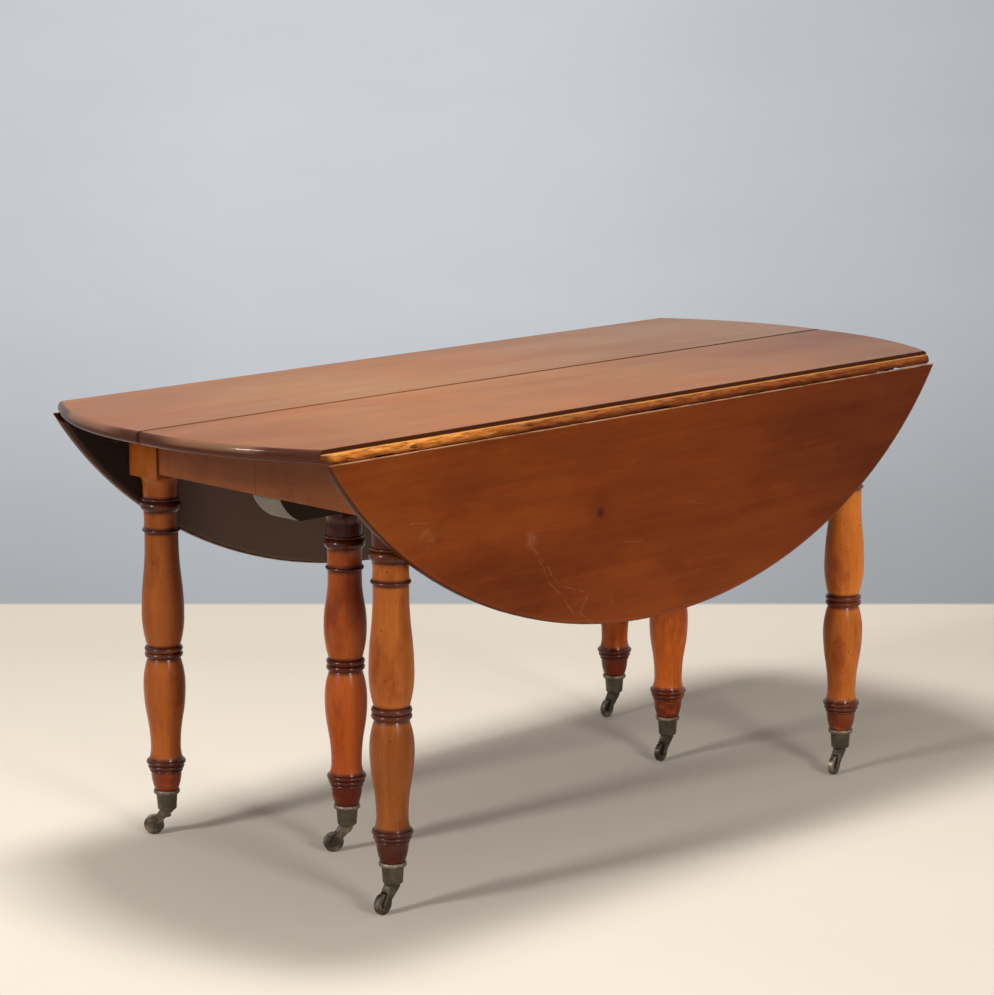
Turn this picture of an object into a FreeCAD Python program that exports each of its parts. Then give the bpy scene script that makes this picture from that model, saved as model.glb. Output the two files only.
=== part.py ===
"""Six-legged drop-leaf extension table.

Frame: origin on the floor under the middle of the table, +X along the table and its leaf hinges,
-Y towards the front leaf, +Z up. Millimetres. Both leaves hang, and both halves are pushed together.
"""
import FreeCAD, Part
import math
import os
import re
import Sketcher

# ---------------------------------------------------------------- driving dimensions (mm, degrees)
SIZES = {
    # tops and leaves
    "table_height": 740,
    "top_length": 1598,
    "open_width": 1298,
    "oval_centre": 30,
    "board": 20,
    "edge_round": 7,
    "seam_gap": 0.6,
    # rule joint between a top and its leaf
    "hinge_line": 310.7,
    "hinge_drop": 0.4,
    "ovolo": 13.9,
    "rule_gap": 0.4,
    # leaf hinges
    "hinge_end": 201,
    "hinge_width": 38,
    "top_plate_length": 34,
    "leaf_plate_length": 56,
    "plate_thick": 1.5,
    "knuckle_radius": 3.2,
    "knuckle_gap": 0.4,
    "hinge_pin_radius": 1.5,
    "pin_gap": 0.05,
    "mortise_gap": 0.2,
    "screw_radius": 1.6,
    "screw_head": 3.1,
    "screw_length": 14,
    "screw_spread": 12,
    "screw_inset": 9,
    "screw_gap": 0.05,
    # dowels in the seam
    "dowel_x": 450,
    "dowel_radius": 4,
    "dowel_length": 30,
    "dowel_gap": 0.3,
    # leg places
    "end_overhang": 258,
    "leaf_clearance": 2.2,
    "middle_leg_inset": 153,
    "leg_square": 70,
    "block_height": 115,
    "middle_block": 6.5,
    "leg_tenon_radius": 20,
    "leg_tenon_height": 60,
    # turned members, from the block down
    "shoulder_radius": 34.5,
    "shoulder_height": 16,
    "collar_radius": 28.5,
    "collar_height": 19.5,
    "top_bead_height": 5,
    "top_bead_radius": 30.7,
    "torus_height": 17,
    "torus_radius": 33.5,
    "neck_radius": 28.5,
    "neck_waist": 27.6,
    "neck_height": 29,
    "ring_height": 6,
    "ring_radius": 31,
    "stem_radius": 27.5,
    "stem_height": 14,
    "belly_radius": 34.8,
    "belly_height": 52,
    "belly_foot": 27.3,
    # turned members, from the ankle rings up
    "mid_bead_height": 10,
    "mid_bead_radius": 31.3,
    "mid_bead_valley": 28.5,
    "calf_height": 47,
    "calf_top": 26.5,
    "calf_radius": 34.5,
    "swell_height": 106,
    "ankle_radius": 24.6,
    "flare_height": 19,
    "flare_radius": 28,
    "upper_bead_height": 8.5,
    "upper_bead_radius": 32.3,
    "lower_bead_height": 8,
    "lower_bead_radius": 32,
    "small_bead_height": 5,
    "small_bead_radius": 27.2,
    "pear_height": 30.5,
    "pear_radius": 25,
    "pear_foot": 18.9,
    # castors
    "cup_bottom": 44.6,
    "cup_height": 34.4,
    "cup_ring_height": 7,
    "cup_ring_radius": 21.7,
    "cup_top_radius": 17.4,
    "cup_foot_radius": 15.5,
    "cup_wall": 1.5,
    "cup_floor": 2.5,
    "foot_gap": 0.1,
    "wheel_radius": 16.5,
    "wheel_width": 9.5,
    "wheel_round": 1.8,
    "trail": 23,
    "castor_axle_radius": 2,
    "castor_axle_gap": 0.05,
    "axle_head_radius": 3.4,
    "axle_head": 1,
    "cheek": 2.5,
    "cheek_gap": 0.6,
    "tyre_gap": 1.2,
    "horn_boss": 6.5,
    "horn_collar_radius": 10.5,
    "horn_collar": 3,
    "swivel_gap": 0.4,
    "stem_pin_radius": 4,
    "stem_gap": 0.05,
    "rivet_radius": 5,
    "rivet_head": 3,
    "rivet_gap": 0.3,
    "socket_gap": 0.6,
    # rest directions of the castor horns, from +X towards +Y
    "swivel_left_back": 125,
    "swivel_left_middle": 150,
    "swivel_left_front": 185,
    "swivel_right_back": 188,
    "swivel_right_middle": 192,
    "swivel_right_front": 193,
    # aprons
    "apron_height": 106,
    "apron_thick": 22,
    "long_setback": 3,
    "end_setback": 4,
    "tenon_thick": 10,
    "tenon_depth": 25,
    "tenon_inset": 14,
    "glue_gap": 0.2,
    "apron_seam": 0.2,
    # bearer and extension slides
    "runner_height": 55,
    "runner_gap": 1,
    "runner_x": 200,
    "centre_runner_width": 36,
    "centre_runner_length": 480,
    "side_runner_width": 26,
    "side_runner_reach": 225,
    "slide_gap": 0.5,
    "tongue_depth": 7,
    "tongue_height": 14,
    "bearer_width": 66,
    "bearer_height": 96.5,
    "bearer_gap": 1,
    "nose_length": 40,
    "nose_height": 37,
    "nose_radius": 80,
    # leaf supports and glue blocks
    "loper_x": 330,
    "loper_width": 24,
    "loper_height": 24,
    "loper_inset": 60,
    "loper_gap": 0.3,
    "block_length": 100,
    "block_side": 20,
    "block_inset": 20,
    "block_clear": 44,
}

# ------------------------------------------------- places worked out from the driving dimensions
UNDERSIDE = "(table_height - board)"
PIVOT_Z = "(table_height - board - hinge_drop)"
LEAF_BOARD = "(board + hinge_drop)"
COVE = "(ovolo + rule_gap)"
BLOCK_BOTTOM = "(table_height - board - block_height)"
APRON_BOTTOM = "(table_height - board - apron_height)"
CORNER_LEG_X = "(top_length / 2 - end_overhang)"
CORNER_LEG_Y = "(hinge_line - leaf_clearance - leg_square / 2)"
MIDDLE_LEG_X = f"({CORNER_LEG_X} - middle_leg_inset)"
LONG_FACE = f"({CORNER_LEG_Y} + leg_square / 2 - long_setback)"
LONG_BACK = f"({LONG_FACE} - apron_thick)"
END_FACE = f"({CORNER_LEG_X} + leg_square / 2 - end_setback)"
END_BACK = f"({END_FACE} - apron_thick)"
BLOCK_REACH = "(leg_square / 2 + block_inset)"
HINGE_X = "(top_length / 2 - hinge_end)"
RUNNER_TOP = "(table_height - board - runner_gap)"
BEARER_TOP = f"({RUNNER_TOP} - runner_height)"
BEARER_BOTTOM = f"({BEARER_TOP} - bearer_height)"
MIDDLE_BLOCK_BOTTOM = f"({BEARER_BOTTOM} - middle_block)"
CUP_TOP = "(cup_bottom + cup_height)"
HORN_TOP = "(cup_bottom - swivel_gap)"
FORK_WIDTH = "(wheel_width + 2 * cheek_gap + 2 * cheek)"
SLOT_WIDTH = "(wheel_width + 2 * cheek_gap)"

SIDES = {"front": -1, "back": 1}
ENDS = {"left": -1, "right": 1}
HINGE_PLACES = (f"(-1 * {HINGE_X})", "0", HINGE_X)
DOWEL_PLACES = ("(-dowel_x)", "0", "dowel_x")

doc = FreeCAD.newDocument("drop_leaf_table")
sheet = doc.addObject("Spreadsheet::Sheet", "dim")
for row, (alias, value) in enumerate(SIZES.items(), start=1):
    sheet.set("A%d" % row, alias.replace("_", " "))
    sheet.set("B%d" % row, str(value))
    sheet.setAlias("B%d" % row, alias)
doc.recompute()

nodes = []


# ------------------------------------------------------------------------- expressions on the sheet
def full(text):
    """The expression with every alias in it written in the sheet's own form."""
    return re.sub(r"[a-z][a-z_]*", lambda word: "dim." + word.group() if word.group() in SIZES
                  else word.group(), str(text))


def amount(text):
    """The present value of an expression."""
    return float(sheet.evalExpression(full(text)))


def bind(thing, **settings):
    """Tie properties to expressions; a double underscore in a name stands for a dot."""
    for name, text in settings.items():
        thing.setExpression(name.replace("__", "."), full(text))


def place(thing, x="0", y="0", z="0"):
    bind(thing, Placement__Base__x=x, Placement__Base__y=y, Placement__Base__z=z)


def ordered(sign, near, far):
    """Low and high ends of a stretch from near to far, mirrored to the sign's side."""
    if sign > 0:
        return near, far
    return f"(-1 * {far})", f"(-1 * {near})"


def node(thing, label):
    thing.Label = label
    nodes.append(thing)
    return thing


# ------------------------------------------------------------------------------ bodies and sketches
def new_body(label):
    body = doc.addObject("PartDesign::Body", label)
    return node(body, label)


def sketch_on(body, role, offset="0"):
    sketch = body.newObject("Sketcher::SketchObject", body.Name + "_sketch")
    origin_plane = next(item for item in body.Origin.OriginFeatures if item.Role == role)
    sketch.AttachmentSupport = [(origin_plane, "")]
    sketch.MapMode = "FlatFace"
    bind(sketch, AttachmentOffset__Base__z=offset)
    return sketch


def hold(sketch, rules):
    """Add (kind, arguments, expression) rules; an expression of None leaves a rule without a size."""
    constraints = [Sketcher.Constraint(kind, *arguments) if text is None
                   else Sketcher.Constraint(kind, *arguments, amount(text))
                   for kind, arguments, text in rules]
    numbers = sketch.addConstraint(constraints)
    for number, (kind, arguments, text) in zip(numbers, rules):
        if text is not None:
            name = "%s_%d" % (kind, number)
            sketch.renameConstraint(number, name)
            sketch.setExpression("Constraints." + name, full(text))


def at_point(geometry, end, x, y):
    """Rules that tie one end of a curve to a place in the sketch."""
    return [("DistanceX", (-1, 1, geometry, end), x), ("DistanceY", (-1, 1, geometry, end), y)]


def arc_curve(start, finish, radius, turn):
    """The short arc from start to finish. A turn of 1 runs anticlockwise, -1 clockwise."""
    chord = finish - start
    rise = math.sqrt(max(radius ** 2 - (chord.Length / 2) ** 2, 0))
    left = FreeCAD.Vector(-chord.y, chord.x, 0).normalize()
    centre = (start + finish) * 0.5 + left * (turn * rise)
    first, last = (start, finish) if turn > 0 else (finish, start)
    first_angle = math.atan2(first.y - centre.y, first.x - centre.x)
    last_angle = math.atan2(last.y - centre.y, last.x - centre.x)
    circle = Part.Circle(centre, FreeCAD.Vector(0, 0, 1), radius)
    return Part.ArcOfCircle(circle, first_angle, last_angle)


def draw_outline(sketch, corners):
    """Closed outline. A corner is (x, y), or (x, y, radius, turn) where an arc leaves it."""
    first = len(sketch.Geometry)
    points = [FreeCAD.Vector(amount(corner[0]), amount(corner[1]), 0) for corner in corners]
    curves = []
    ends = []
    for index, corner in enumerate(corners):
        start = points[index]
        finish = points[(index + 1) % len(points)]
        if len(corner) == 2:
            curves.append(Part.LineSegment(start, finish))
            ends.append((1, 2))
        else:
            curves.append(arc_curve(start, finish, amount(corner[2]), corner[3]))
            ends.append((1, 2) if corner[3] > 0 else (2, 1))
    sketch.addGeometry(curves)
    rules = []
    for index, corner in enumerate(corners):
        after = (index + 1) % len(corners)
        rules.append(("Coincident", (first + index, ends[index][1], first + after, ends[after][0]),
                      None))
        rules += at_point(first + index, ends[index][0], corner[0], corner[1])
        if len(corner) == 4:
            rules.append(("Radius", (first + index,), corner[2]))
    hold(sketch, rules)


def draw_circle(sketch, x, y, radius):
    centre = FreeCAD.Vector(amount(x), amount(y), 0)
    number = sketch.addGeometry(Part.Circle(centre, FreeCAD.Vector(0, 0, 1), amount(radius)))
    hold(sketch, at_point(number, 3, x, y) + [("Radius", (number,), radius)])


def draw_rectangle(sketch, x_low, x_high, y_low, y_high):
    draw_outline(sketch, [(x_low, y_low), (x_high, y_low), (x_high, y_high), (x_low, y_high)])


def pad(body, sketch, length, centred=False):
    feature = body.newObject("PartDesign::Pad", body.Name + "_pad")
    feature.Profile = sketch
    if centred:
        feature.SideType = "Symmetric"
    bind(feature, Length=length)
    return feature


def pocket(body, sketch, length, centred=False, upward=False):
    feature = body.newObject("PartDesign::Pocket", body.Name + "_pocket")
    feature.Profile = sketch
    if centred:
        feature.SideType = "Symmetric"
    feature.Reversed = upward
    bind(feature, Length=length)
    return feature


def revolve(body, sketch, axis):
    feature = body.newObject("PartDesign::Revolution", body.Name + "_turning")
    feature.Profile = sketch
    feature.ReferenceAxis = (sketch, [axis])
    feature.Angle = 360
    return feature


def body_box(body, kind, x, y, z):
    """Box feature of a body; x, y and z are (low, high) pairs."""
    feature = body.newObject("PartDesign::%sBox" % kind, body.Name + "_box")
    bind(feature, Length=f"{x[1]} - {x[0]}", Width=f"{y[1]} - {y[0]}", Height=f"{z[1]} - {z[0]}")
    place(feature, x[0], y[0], z[0])
    return feature


def cylinder_along(thing, axis):
    turns = {"z": FreeCAD.Rotation(),
             "x": FreeCAD.Rotation(FreeCAD.Vector(0, 1, 0), 90),
             "y": FreeCAD.Rotation(FreeCAD.Vector(1, 0, 0), -90)}
    thing.Placement = FreeCAD.Placement(FreeCAD.Vector(0, 0, 0), turns[axis])


def body_cylinder(body, kind, radius, length, x, y, z, axis="z"):
    """Cylinder feature of a body that starts at x, y, z and runs along +axis."""
    feature = body.newObject("PartDesign::%sCylinder" % kind, body.Name + "_cylinder")
    cylinder_along(feature, axis)
    bind(feature, Radius=radius, Height=length)
    place(feature, x, y, z)
    return feature


# ------------------------------------------------------------------------------- loose primitives
def part_box(name, x, y, z):
    box = doc.addObject("Part::Box", name)
    bind(box, Length=f"{x[1]} - {x[0]}", Width=f"{y[1]} - {y[0]}", Height=f"{z[1]} - {z[0]}")
    place(box, x[0], y[0], z[0])
    return box


def part_cylinder(name, radius, length, x, y, z, axis="z"):
    cylinder = doc.addObject("Part::Cylinder", name)
    cylinder_along(cylinder, axis)
    bind(cylinder, Radius=radius, Height=length)
    place(cylinder, x, y, z)
    return cylinder


def part_cone(name, low_radius, high_radius, length, x, y, z):
    cone = doc.addObject("Part::Cone", name)
    bind(cone, Radius1=low_radius, Radius2=high_radius, Height=length)
    place(cone, x, y, z)
    return cone


def fused(name, shapes):
    union = doc.addObject("Part::MultiFuse", name)
    union.Shapes = shapes
    return union


def cut(name, base, tools):
    result = doc.addObject("Part::Cut", name)
    result.Base = base
    result.Tool = tools[0] if len(tools) == 1 else fused(name + "_tools", tools)
    return result


def group(label, solids):
    """Equal pieces that share one node."""
    compound = doc.addObject("Part::Compound", label)
    compound.Links = solids
    return node(compound, label)


def hang(thing, sign):
    """Swing a raised leaf, or its hardware, a quarter turn down about the leaf's pivot."""
    thing.Placement = FreeCAD.Placement(FreeCAD.Vector(0, 0, 0),
                                        FreeCAD.Rotation(FreeCAD.Vector(1, 0, 0), -90 * sign))
    place(thing, "0", f"{sign} * (hinge_line - {PIVOT_Z})", f"{PIVOT_Z} + hinge_line")


# ------------------------------------------------------------------------ tops, leaves and dowels
def screw_places(plate_sign, near, length, clear="0"):
    """Screw centres on a hinge plate, as (x, y) pairs; clear keeps the inner two off the joint."""
    inner = f"({plate_sign} * ({near} + {clear} + screw_inset))"
    outer = f"({plate_sign} * ({near} + {length} - screw_inset))"
    return [("screw_spread", inner), ("(-screw_spread)", inner), ("0", outer)]


def top_plate_near(sign):
    """The top plate starts just inside the knuckle and runs towards the seam."""
    return -sign, "(-hinge_line + knuckle_radius + knuckle_gap)"


def leaf_plate_near(sign):
    return sign, "(hinge_line + knuckle_radius + knuckle_gap)"


def drill_screw_holes(body, places, bottom):
    """Pilot holes for the hinge screws, upwards from the given level."""
    sketch = sketch_on(body, "XY_Plane", bottom)
    for hinge in HINGE_PLACES:
        for x, y in places:
            draw_circle(sketch, f"{hinge} + {x}", y, "screw_radius + screw_gap")
    pocket(body, sketch, "screw_length + 2 * screw_gap", upward=True)


def board_blank(body, sign, bottom, thickness):
    """A whole oval board with its rounded edge, before it is cut to its strip.

    Each half of the table has its own oval, centred a little outside the seam, so that the ends
    are flatter and the shoulders fuller than those of a plain ellipse.
    """
    outline = sketch_on(body, "XY_Plane", bottom)
    half_length = amount("top_length / 2")
    half_width = amount("open_width / 2 - oval_centre")
    focus = math.sqrt(half_length ** 2 - half_width ** 2)
    middle = amount(f"({sign} * oval_centre)")
    centre = FreeCAD.Vector(0, middle, 0)
    outline.addGeometry(Part.Ellipse(FreeCAD.Vector(half_length, middle, 0),
                                     FreeCAD.Vector(0, middle + half_width, 0), centre))
    outline.addGeometry(Part.LineSegment(FreeCAD.Vector(-half_length, middle, 0),
                                         FreeCAD.Vector(half_length, middle, 0)))
    outline.addGeometry(Part.LineSegment(FreeCAD.Vector(0, middle - half_width, 0),
                                         FreeCAD.Vector(0, middle + half_width, 0)))
    outline.addGeometry(Part.Point(FreeCAD.Vector(focus, middle, 0)))
    outline.setConstruction(1, True)
    outline.setConstruction(2, True)
    hold(outline, [("InternalAlignment:EllipseMajorDiameter", (1, 0), None),
                   ("InternalAlignment:EllipseMinorDiameter", (2, 0), None),
                   ("InternalAlignment:EllipseFocus1", (3, 1, 0), None),
                   ("PointOnObject", (0, 3, -2), None),
                   ("DistanceY", (-1, 1, 0, 3), f"({sign} * oval_centre)"),
                   ("Horizontal", (1,), None),
                   ("Distance", (1,), "top_length"),
                   ("Distance", (2,), "open_width - 2 * oval_centre")])
    blank = pad(body, outline, thickness)
    doc.recompute()
    rims = ["Edge%d" % number for number, edge in enumerate(blank.Shape.Edges, start=1)
            if edge.Closed]
    rounding = body.newObject("PartDesign::Fillet", body.Name + "_rounding")
    rounding.Base = (blank, rims)
    bind(rounding, Radius="edge_round")
    return rounding


def top_board(side, sign):
    body = new_body(f"top_board_{side}")
    board_blank(body, sign, UNDERSIDE, "board")
    # Cut away the other half beyond the seam, and everything outside the ovolo.
    reach = f"({sign} * (open_width / 2 + board))"
    joint = f"({sign} * hinge_line)"
    lip = f"({sign} * (hinge_line + sqrt(ovolo * ovolo - hinge_drop * hinge_drop)))"
    low = f"({UNDERSIDE} - board)"
    high = "(table_height + board)"
    strip = sketch_on(body, "YZ_Plane")
    draw_outline(strip, [
        (joint, high),
        (joint, f"{PIVOT_Z} + ovolo", "ovolo", -sign),
        (lip, UNDERSIDE),
        (lip, low),
        (reach, low),
        (reach, high)])
    seam = f"({sign} * seam_gap / 2)"
    other = f"(-1 * {reach})"
    draw_outline(strip, [(seam, low), (seam, high), (other, high), (other, low)])
    pocket(body, strip, "2 * top_length", centred=True)
    # Recesses for the hinges: the flat of the plates, then the round of the knuckle.
    inner = "(hinge_line - knuckle_radius - knuckle_gap - top_plate_length - mortise_gap)"
    outer = f"(hinge_line + {COVE})"
    for hinge in HINGE_PLACES:
        half = "(hinge_width / 2 + mortise_gap)"
        body_box(body, "Subtractive", (f"({hinge} - {half})", f"({hinge} + {half})"),
                 ordered(sign, inner, outer),
                 (f"({UNDERSIDE} - board)", f"({UNDERSIDE} + plate_thick + mortise_gap)"))
        body_cylinder(body, "Subtractive", "knuckle_radius + knuckle_gap",
                      "hinge_width + 2 * mortise_gap", f"{hinge} - {half}",
                      joint, PIVOT_Z, axis="x")
    drill_screw_holes(body, screw_places(*top_plate_near(sign), "top_plate_length"), UNDERSIDE)
    # Blind dowel holes in the seam edge.
    grip = "screw_gap" if side == "front" else "dowel_gap"
    for x in DOWEL_PLACES:
        start = "(-dowel_length / 2 - dowel_gap)" if side == "front" else "0"
        body_cylinder(body, "Subtractive", f"dowel_radius + {grip}",
                      "dowel_length / 2 + dowel_gap", x, start, "table_height - board / 2", axis="y")


def leaf(side, sign):
    body = new_body(f"leaf_{side}")
    board_blank(body, sign, PIVOT_Z, LEAF_BOARD)
    # Keep what lies outside the hinge line, with the cove along its inner edge.
    nose = f"({sign} * (hinge_line + rule_gap))"
    toe = f"({sign} * (hinge_line + {COVE}))"
    inside = f"({sign} * (-open_width / 2 - board))"
    low = f"({PIVOT_Z} - board)"
    high = "(table_height + board)"
    strip = sketch_on(body, "YZ_Plane")
    draw_outline(strip, [
        (nose, high),
        (nose, f"{PIVOT_Z} + sqrt({COVE} * {COVE} - rule_gap * rule_gap)", COVE, -sign),
        (toe, PIVOT_Z),
        (toe, low),
        (inside, low),
        (inside, high)])
    pocket(body, strip, "2 * top_length", centred=True)
    for hinge in HINGE_PLACES:
        half = "(hinge_width / 2 + mortise_gap)"
        far = "(hinge_line + knuckle_radius + knuckle_gap + leaf_plate_length + mortise_gap)"
        body_box(body, "Subtractive", (f"({hinge} - {half})", f"({hinge} + {half})"),
                 ordered(sign, f"(hinge_line + {COVE} - board)", far),
                 (f"({PIVOT_Z} - board)", f"({PIVOT_Z} + plate_thick)"))
    drill_screw_holes(body, screw_places(*leaf_plate_near(sign), "leaf_plate_length", COVE),
                      PIVOT_Z)
    hang(body, sign)


def seam_dowels():
    dowels = [part_cylinder(f"dowel_{number}", "dowel_radius", "dowel_length - dowel_gap", x,
                            "(-dowel_length / 2)", "table_height - board / 2", axis="y")
              for number, x in enumerate(DOWEL_PLACES, start=1)]
    group("seam_dowels", dowels)


# ------------------------------------------------------------------------------------ leaf hinges
def countersunk_screw(name, x, y, bottom):
    """Wood screw that points up, with its head's flat face at the bottom level."""
    head_height = "(screw_head - screw_radius)"
    head = part_cone(name + "_head", "screw_head", "screw_radius", head_height, x, y, bottom)
    shank = part_cylinder(name + "_shank", "screw_radius", "screw_length", x, y, bottom)
    return fused(name, [head, shank])


def screw_clearance(name, x, y, bottom):
    head = part_cone(name + "_sink", "screw_head + screw_gap", "screw_radius + screw_gap",
                     "(screw_head - screw_radius)", x, y, bottom)
    shank = part_cylinder(name + "_hole", "screw_radius + screw_gap", "2 * plate_thick", x, y,
                          bottom)
    return [head, shank]


def hinge_plate(name, hinge, sign, near, length, bottom, knuckles, joint, places):
    """Flat plate with its knuckles; near is the plate's edge beside the pivot."""
    half = "(hinge_width / 2)"
    plate = part_box(name + "_flat", (f"({hinge} - {half})", f"({hinge} + {half})"),
                     ordered(sign, near, f"({near} + {length})"),
                     (bottom, f"({bottom} + plate_thick)"))
    shapes = [plate]
    for number, (start, finish) in enumerate(knuckles, start=1):
        reach = ordered(sign, joint, near)
        span = (f"({hinge} + {start})", f"({hinge} + {finish})")
        shapes.append(part_box(f"{name}_neck_{number}", span, reach,
                               (bottom, f"({bottom} + plate_thick)")))
        shapes.append(part_cylinder(f"{name}_knuckle_{number}", "knuckle_radius",
                                    f"{span[1]} - {span[0]}", span[0], f"{sign} * {joint}",
                                    PIVOT_Z, axis="x"))
    solid = fused(name + "_solid", shapes)
    tools = [part_cylinder(name + "_bore", "hinge_pin_radius + pin_gap", "2 * hinge_width",
                           f"{hinge} - hinge_width", f"{sign} * {joint}", PIVOT_Z, axis="x")]
    for number, (x, y) in enumerate(places, start=1):
        tools += screw_clearance(f"{name}_{number}", f"({hinge} + {x})", y, bottom)
    return cut(name, solid, tools)


def leaf_hinges(side, sign):
    third = "(hinge_width / 6)"
    outer_knuckles = [("(-hinge_width / 2)", f"(-1 * {third} - knuckle_gap)"),
                      (f"({third} + knuckle_gap)", "(hinge_width / 2)")]
    centre_knuckle = [(f"(-1 * {third})", third)]
    top_sign, top_near = top_plate_near(sign)
    leaf_sign, leaf_near = leaf_plate_near(sign)
    top_places = screw_places(top_sign, top_near, "top_plate_length")
    leaf_places = screw_places(leaf_sign, leaf_near, "leaf_plate_length", COVE)
    top_plates = []
    leaf_plates = []
    pins = []
    top_screws = []
    leaf_screws = []
    for number, hinge in enumerate(HINGE_PLACES, start=1):
        top_plates.append(hinge_plate(f"top_plate_{side}_{number}", hinge, top_sign, top_near,
                                      "top_plate_length", UNDERSIDE, outer_knuckles,
                                      "(-hinge_line)", top_places))
        leaf_plates.append(hinge_plate(f"leaf_plate_{side}_{number}", hinge, leaf_sign, leaf_near,
                                       "leaf_plate_length", PIVOT_Z, centre_knuckle,
                                       "hinge_line", leaf_places))
        pins.append(part_cylinder(f"pin_{side}_{number}", "hinge_pin_radius", "hinge_width",
                                  f"{hinge} - hinge_width / 2", f"{sign} * hinge_line", PIVOT_Z,
                                  axis="x"))
        for count, (x, y) in enumerate(top_places, start=1):
            top_screws.append(countersunk_screw(f"top_screw_{side}_{number}_{count}",
                                                f"{hinge} + {x}", y, UNDERSIDE))
        for count, (x, y) in enumerate(leaf_places, start=1):
            leaf_screws.append(countersunk_screw(f"leaf_screw_{side}_{number}_{count}",
                                                 f"{hinge} + {x}", y, PIVOT_Z))
    group(f"hinge_top_plates_{side}", top_plates)
    group(f"hinge_pins_{side}", pins)
    group(f"hinge_top_screws_{side}", top_screws)
    hang(group(f"hinge_leaf_plates_{side}", leaf_plates), sign)
    hang(group(f"hinge_leaf_screws_{side}", leaf_screws), sign)


# ----------------------------------------------------------------------------------- turned legs
class Turning:
    """Outline of a turned piece, from the top down, as (radius, level) corners."""

    def __init__(self, radius, level):
        self.corners = [(radius, level)]

    def last(self):
        return self.corners[-1][0], self.corners[-1][1]

    def leave_by_arc(self, arc_radius, turn):
        radius, level = self.last()
        self.corners[-1] = (radius, level, arc_radius, turn)

    def step(self, height, radius):
        """Straight run down to a new radius."""
        self.corners.append((radius, f"({self.last()[1]} - {height})"))

    def bead(self, height, crest, radius):
        """Round bead of the given crest radius, ending at a new radius."""
        start = self.last()[0]
        rise = f"({crest} - ({start} + {radius}) / 2)"
        chord = f"({height} * {height} + ({start} - {radius}) * ({start} - {radius}))"
        self.leave_by_arc(f"(({chord} / 4 + {rise} * {rise}) / (2 * {rise}))", -1)
        self.step(height, radius)

    def hollow(self, height, waist, radius):
        """Round hollow with the given waist radius."""
        start = self.last()[0]
        dip = f"(({start} + {radius}) / 2 - {waist})"
        chord = f"({height} * {height} + ({start} - {radius}) * ({start} - {radius}))"
        self.leave_by_arc(f"(({chord} / 4 + {dip} * {dip}) / (2 * {dip}))", 1)
        self.step(height, radius)

    def swell(self, height, radius, turn):
        """Arc that is upright at its wide (turn -1) or narrow (turn 1) end."""
        start = self.last()[0]
        shift = f"({start} - {radius})"
        self.leave_by_arc(f"abs(({height} * {height} + {shift} * {shift}) / (2 * {shift}))", turn)
        self.step(height, radius)

    def ogee(self, height, radius, widening):
        """Two equal arcs, upright at both ends, that meet halfway."""
        start = self.last()[0]
        shift = f"({start} - {radius})"
        curve = f"abs(({height} * {height} + {shift} * {shift}) / (4 * {shift}))"
        self.leave_by_arc(curve, 1 if widening else -1)
        self.step(f"({height} / 2)", f"(({start} + {radius}) / 2)")
        self.leave_by_arc(curve, -1 if widening else 1)
        self.step(f"({height} / 2)", radius)


def leg(label, block_bottom, block_top, tenon_height, x, y):
    """Square block with a turned leg below it, and a round tenon above it if one is given."""
    body = new_body(label)
    turning = Turning("(leg_square / sqrt(2) + 1)", block_bottom)
    turning.step("0", "shoulder_radius")
    turning.swell("shoulder_height", "collar_radius", 1)
    turning.step("collar_height", "collar_radius")
    turning.bead("top_bead_height", "top_bead_radius", "collar_radius")
    turning.bead("torus_height", "torus_radius", "neck_radius")
    turning.hollow("neck_height", "neck_waist", "neck_radius")
    turning.bead("ring_height", "ring_radius", "stem_radius")
    turning.step("stem_height", "stem_radius")
    ankle = f"({CUP_TOP} + pear_height + small_bead_height + lower_bead_height + upper_bead_height)"
    knee = f"({ankle} + flare_height + swell_height + calf_height + 2 * mid_bead_height)"
    belly = f"({knee} + belly_height)"
    turning.ogee(f"({turning.last()[1]} - {belly})", "belly_radius", widening=True)
    turning.swell("belly_height", "belly_foot", -1)
    turning.bead("mid_bead_height", "mid_bead_radius", "mid_bead_valley")
    turning.bead("mid_bead_height", "mid_bead_radius", "calf_top")
    turning.swell("calf_height", "calf_radius", -1)
    turning.ogee("swell_height", "ankle_radius", widening=False)
    turning.swell("flare_height", "flare_radius", 1)
    turning.bead("upper_bead_height", "upper_bead_radius", "flare_radius")
    turning.bead("lower_bead_height", "lower_bead_radius", "pear_radius")
    turning.bead("small_bead_height", "small_bead_radius", "pear_radius")
    turning.swell("pear_height", "pear_foot", -1)
    # The foot goes down inside the castor's cup.
    turning.step("cup_ring_height", "(cup_top_radius - cup_wall - foot_gap)")
    turning.step(f"({turning.last()[1]} - cup_bottom - cup_floor - foot_gap)",
                 "(cup_foot_radius - cup_wall - foot_gap)")
    socket = "(rivet_radius + socket_gap)"
    socket_top = "(cup_bottom + cup_floor + 2 * rivet_gap + rivet_head)"
    turning.corners.append((socket, turning.last()[1]))
    turning.corners.append((socket, socket_top))
    turning.corners.append(("0", socket_top))
    turning.corners.append(("0", f"({block_top} + {tenon_height})"))
    if tenon_height != "0":
        turning.corners.append(("leg_tenon_radius", f"({block_top} + {tenon_height})"))
        turning.corners.append(("leg_tenon_radius", block_top))
    turning.corners.append(("(leg_square / sqrt(2) + 1)", block_top))
    profile = sketch_on(body, "XZ_Plane")
    draw_outline(profile, turning.corners)
    revolve(body, profile, "V_Axis")
    # Square the block above the turned shoulder.
    waste = sketch_on(body, "XY_Plane", block_top)
    draw_rectangle(waste, "-leg_square", "leg_square", "-leg_square", "leg_square")
    draw_rectangle(waste, "-leg_square / 2", "leg_square / 2", "-leg_square / 2", "leg_square / 2")
    pocket(body, waste, f"{block_top} - {block_bottom} + shoulder_height / 2")
    place(body, x, y)
    return body


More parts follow.
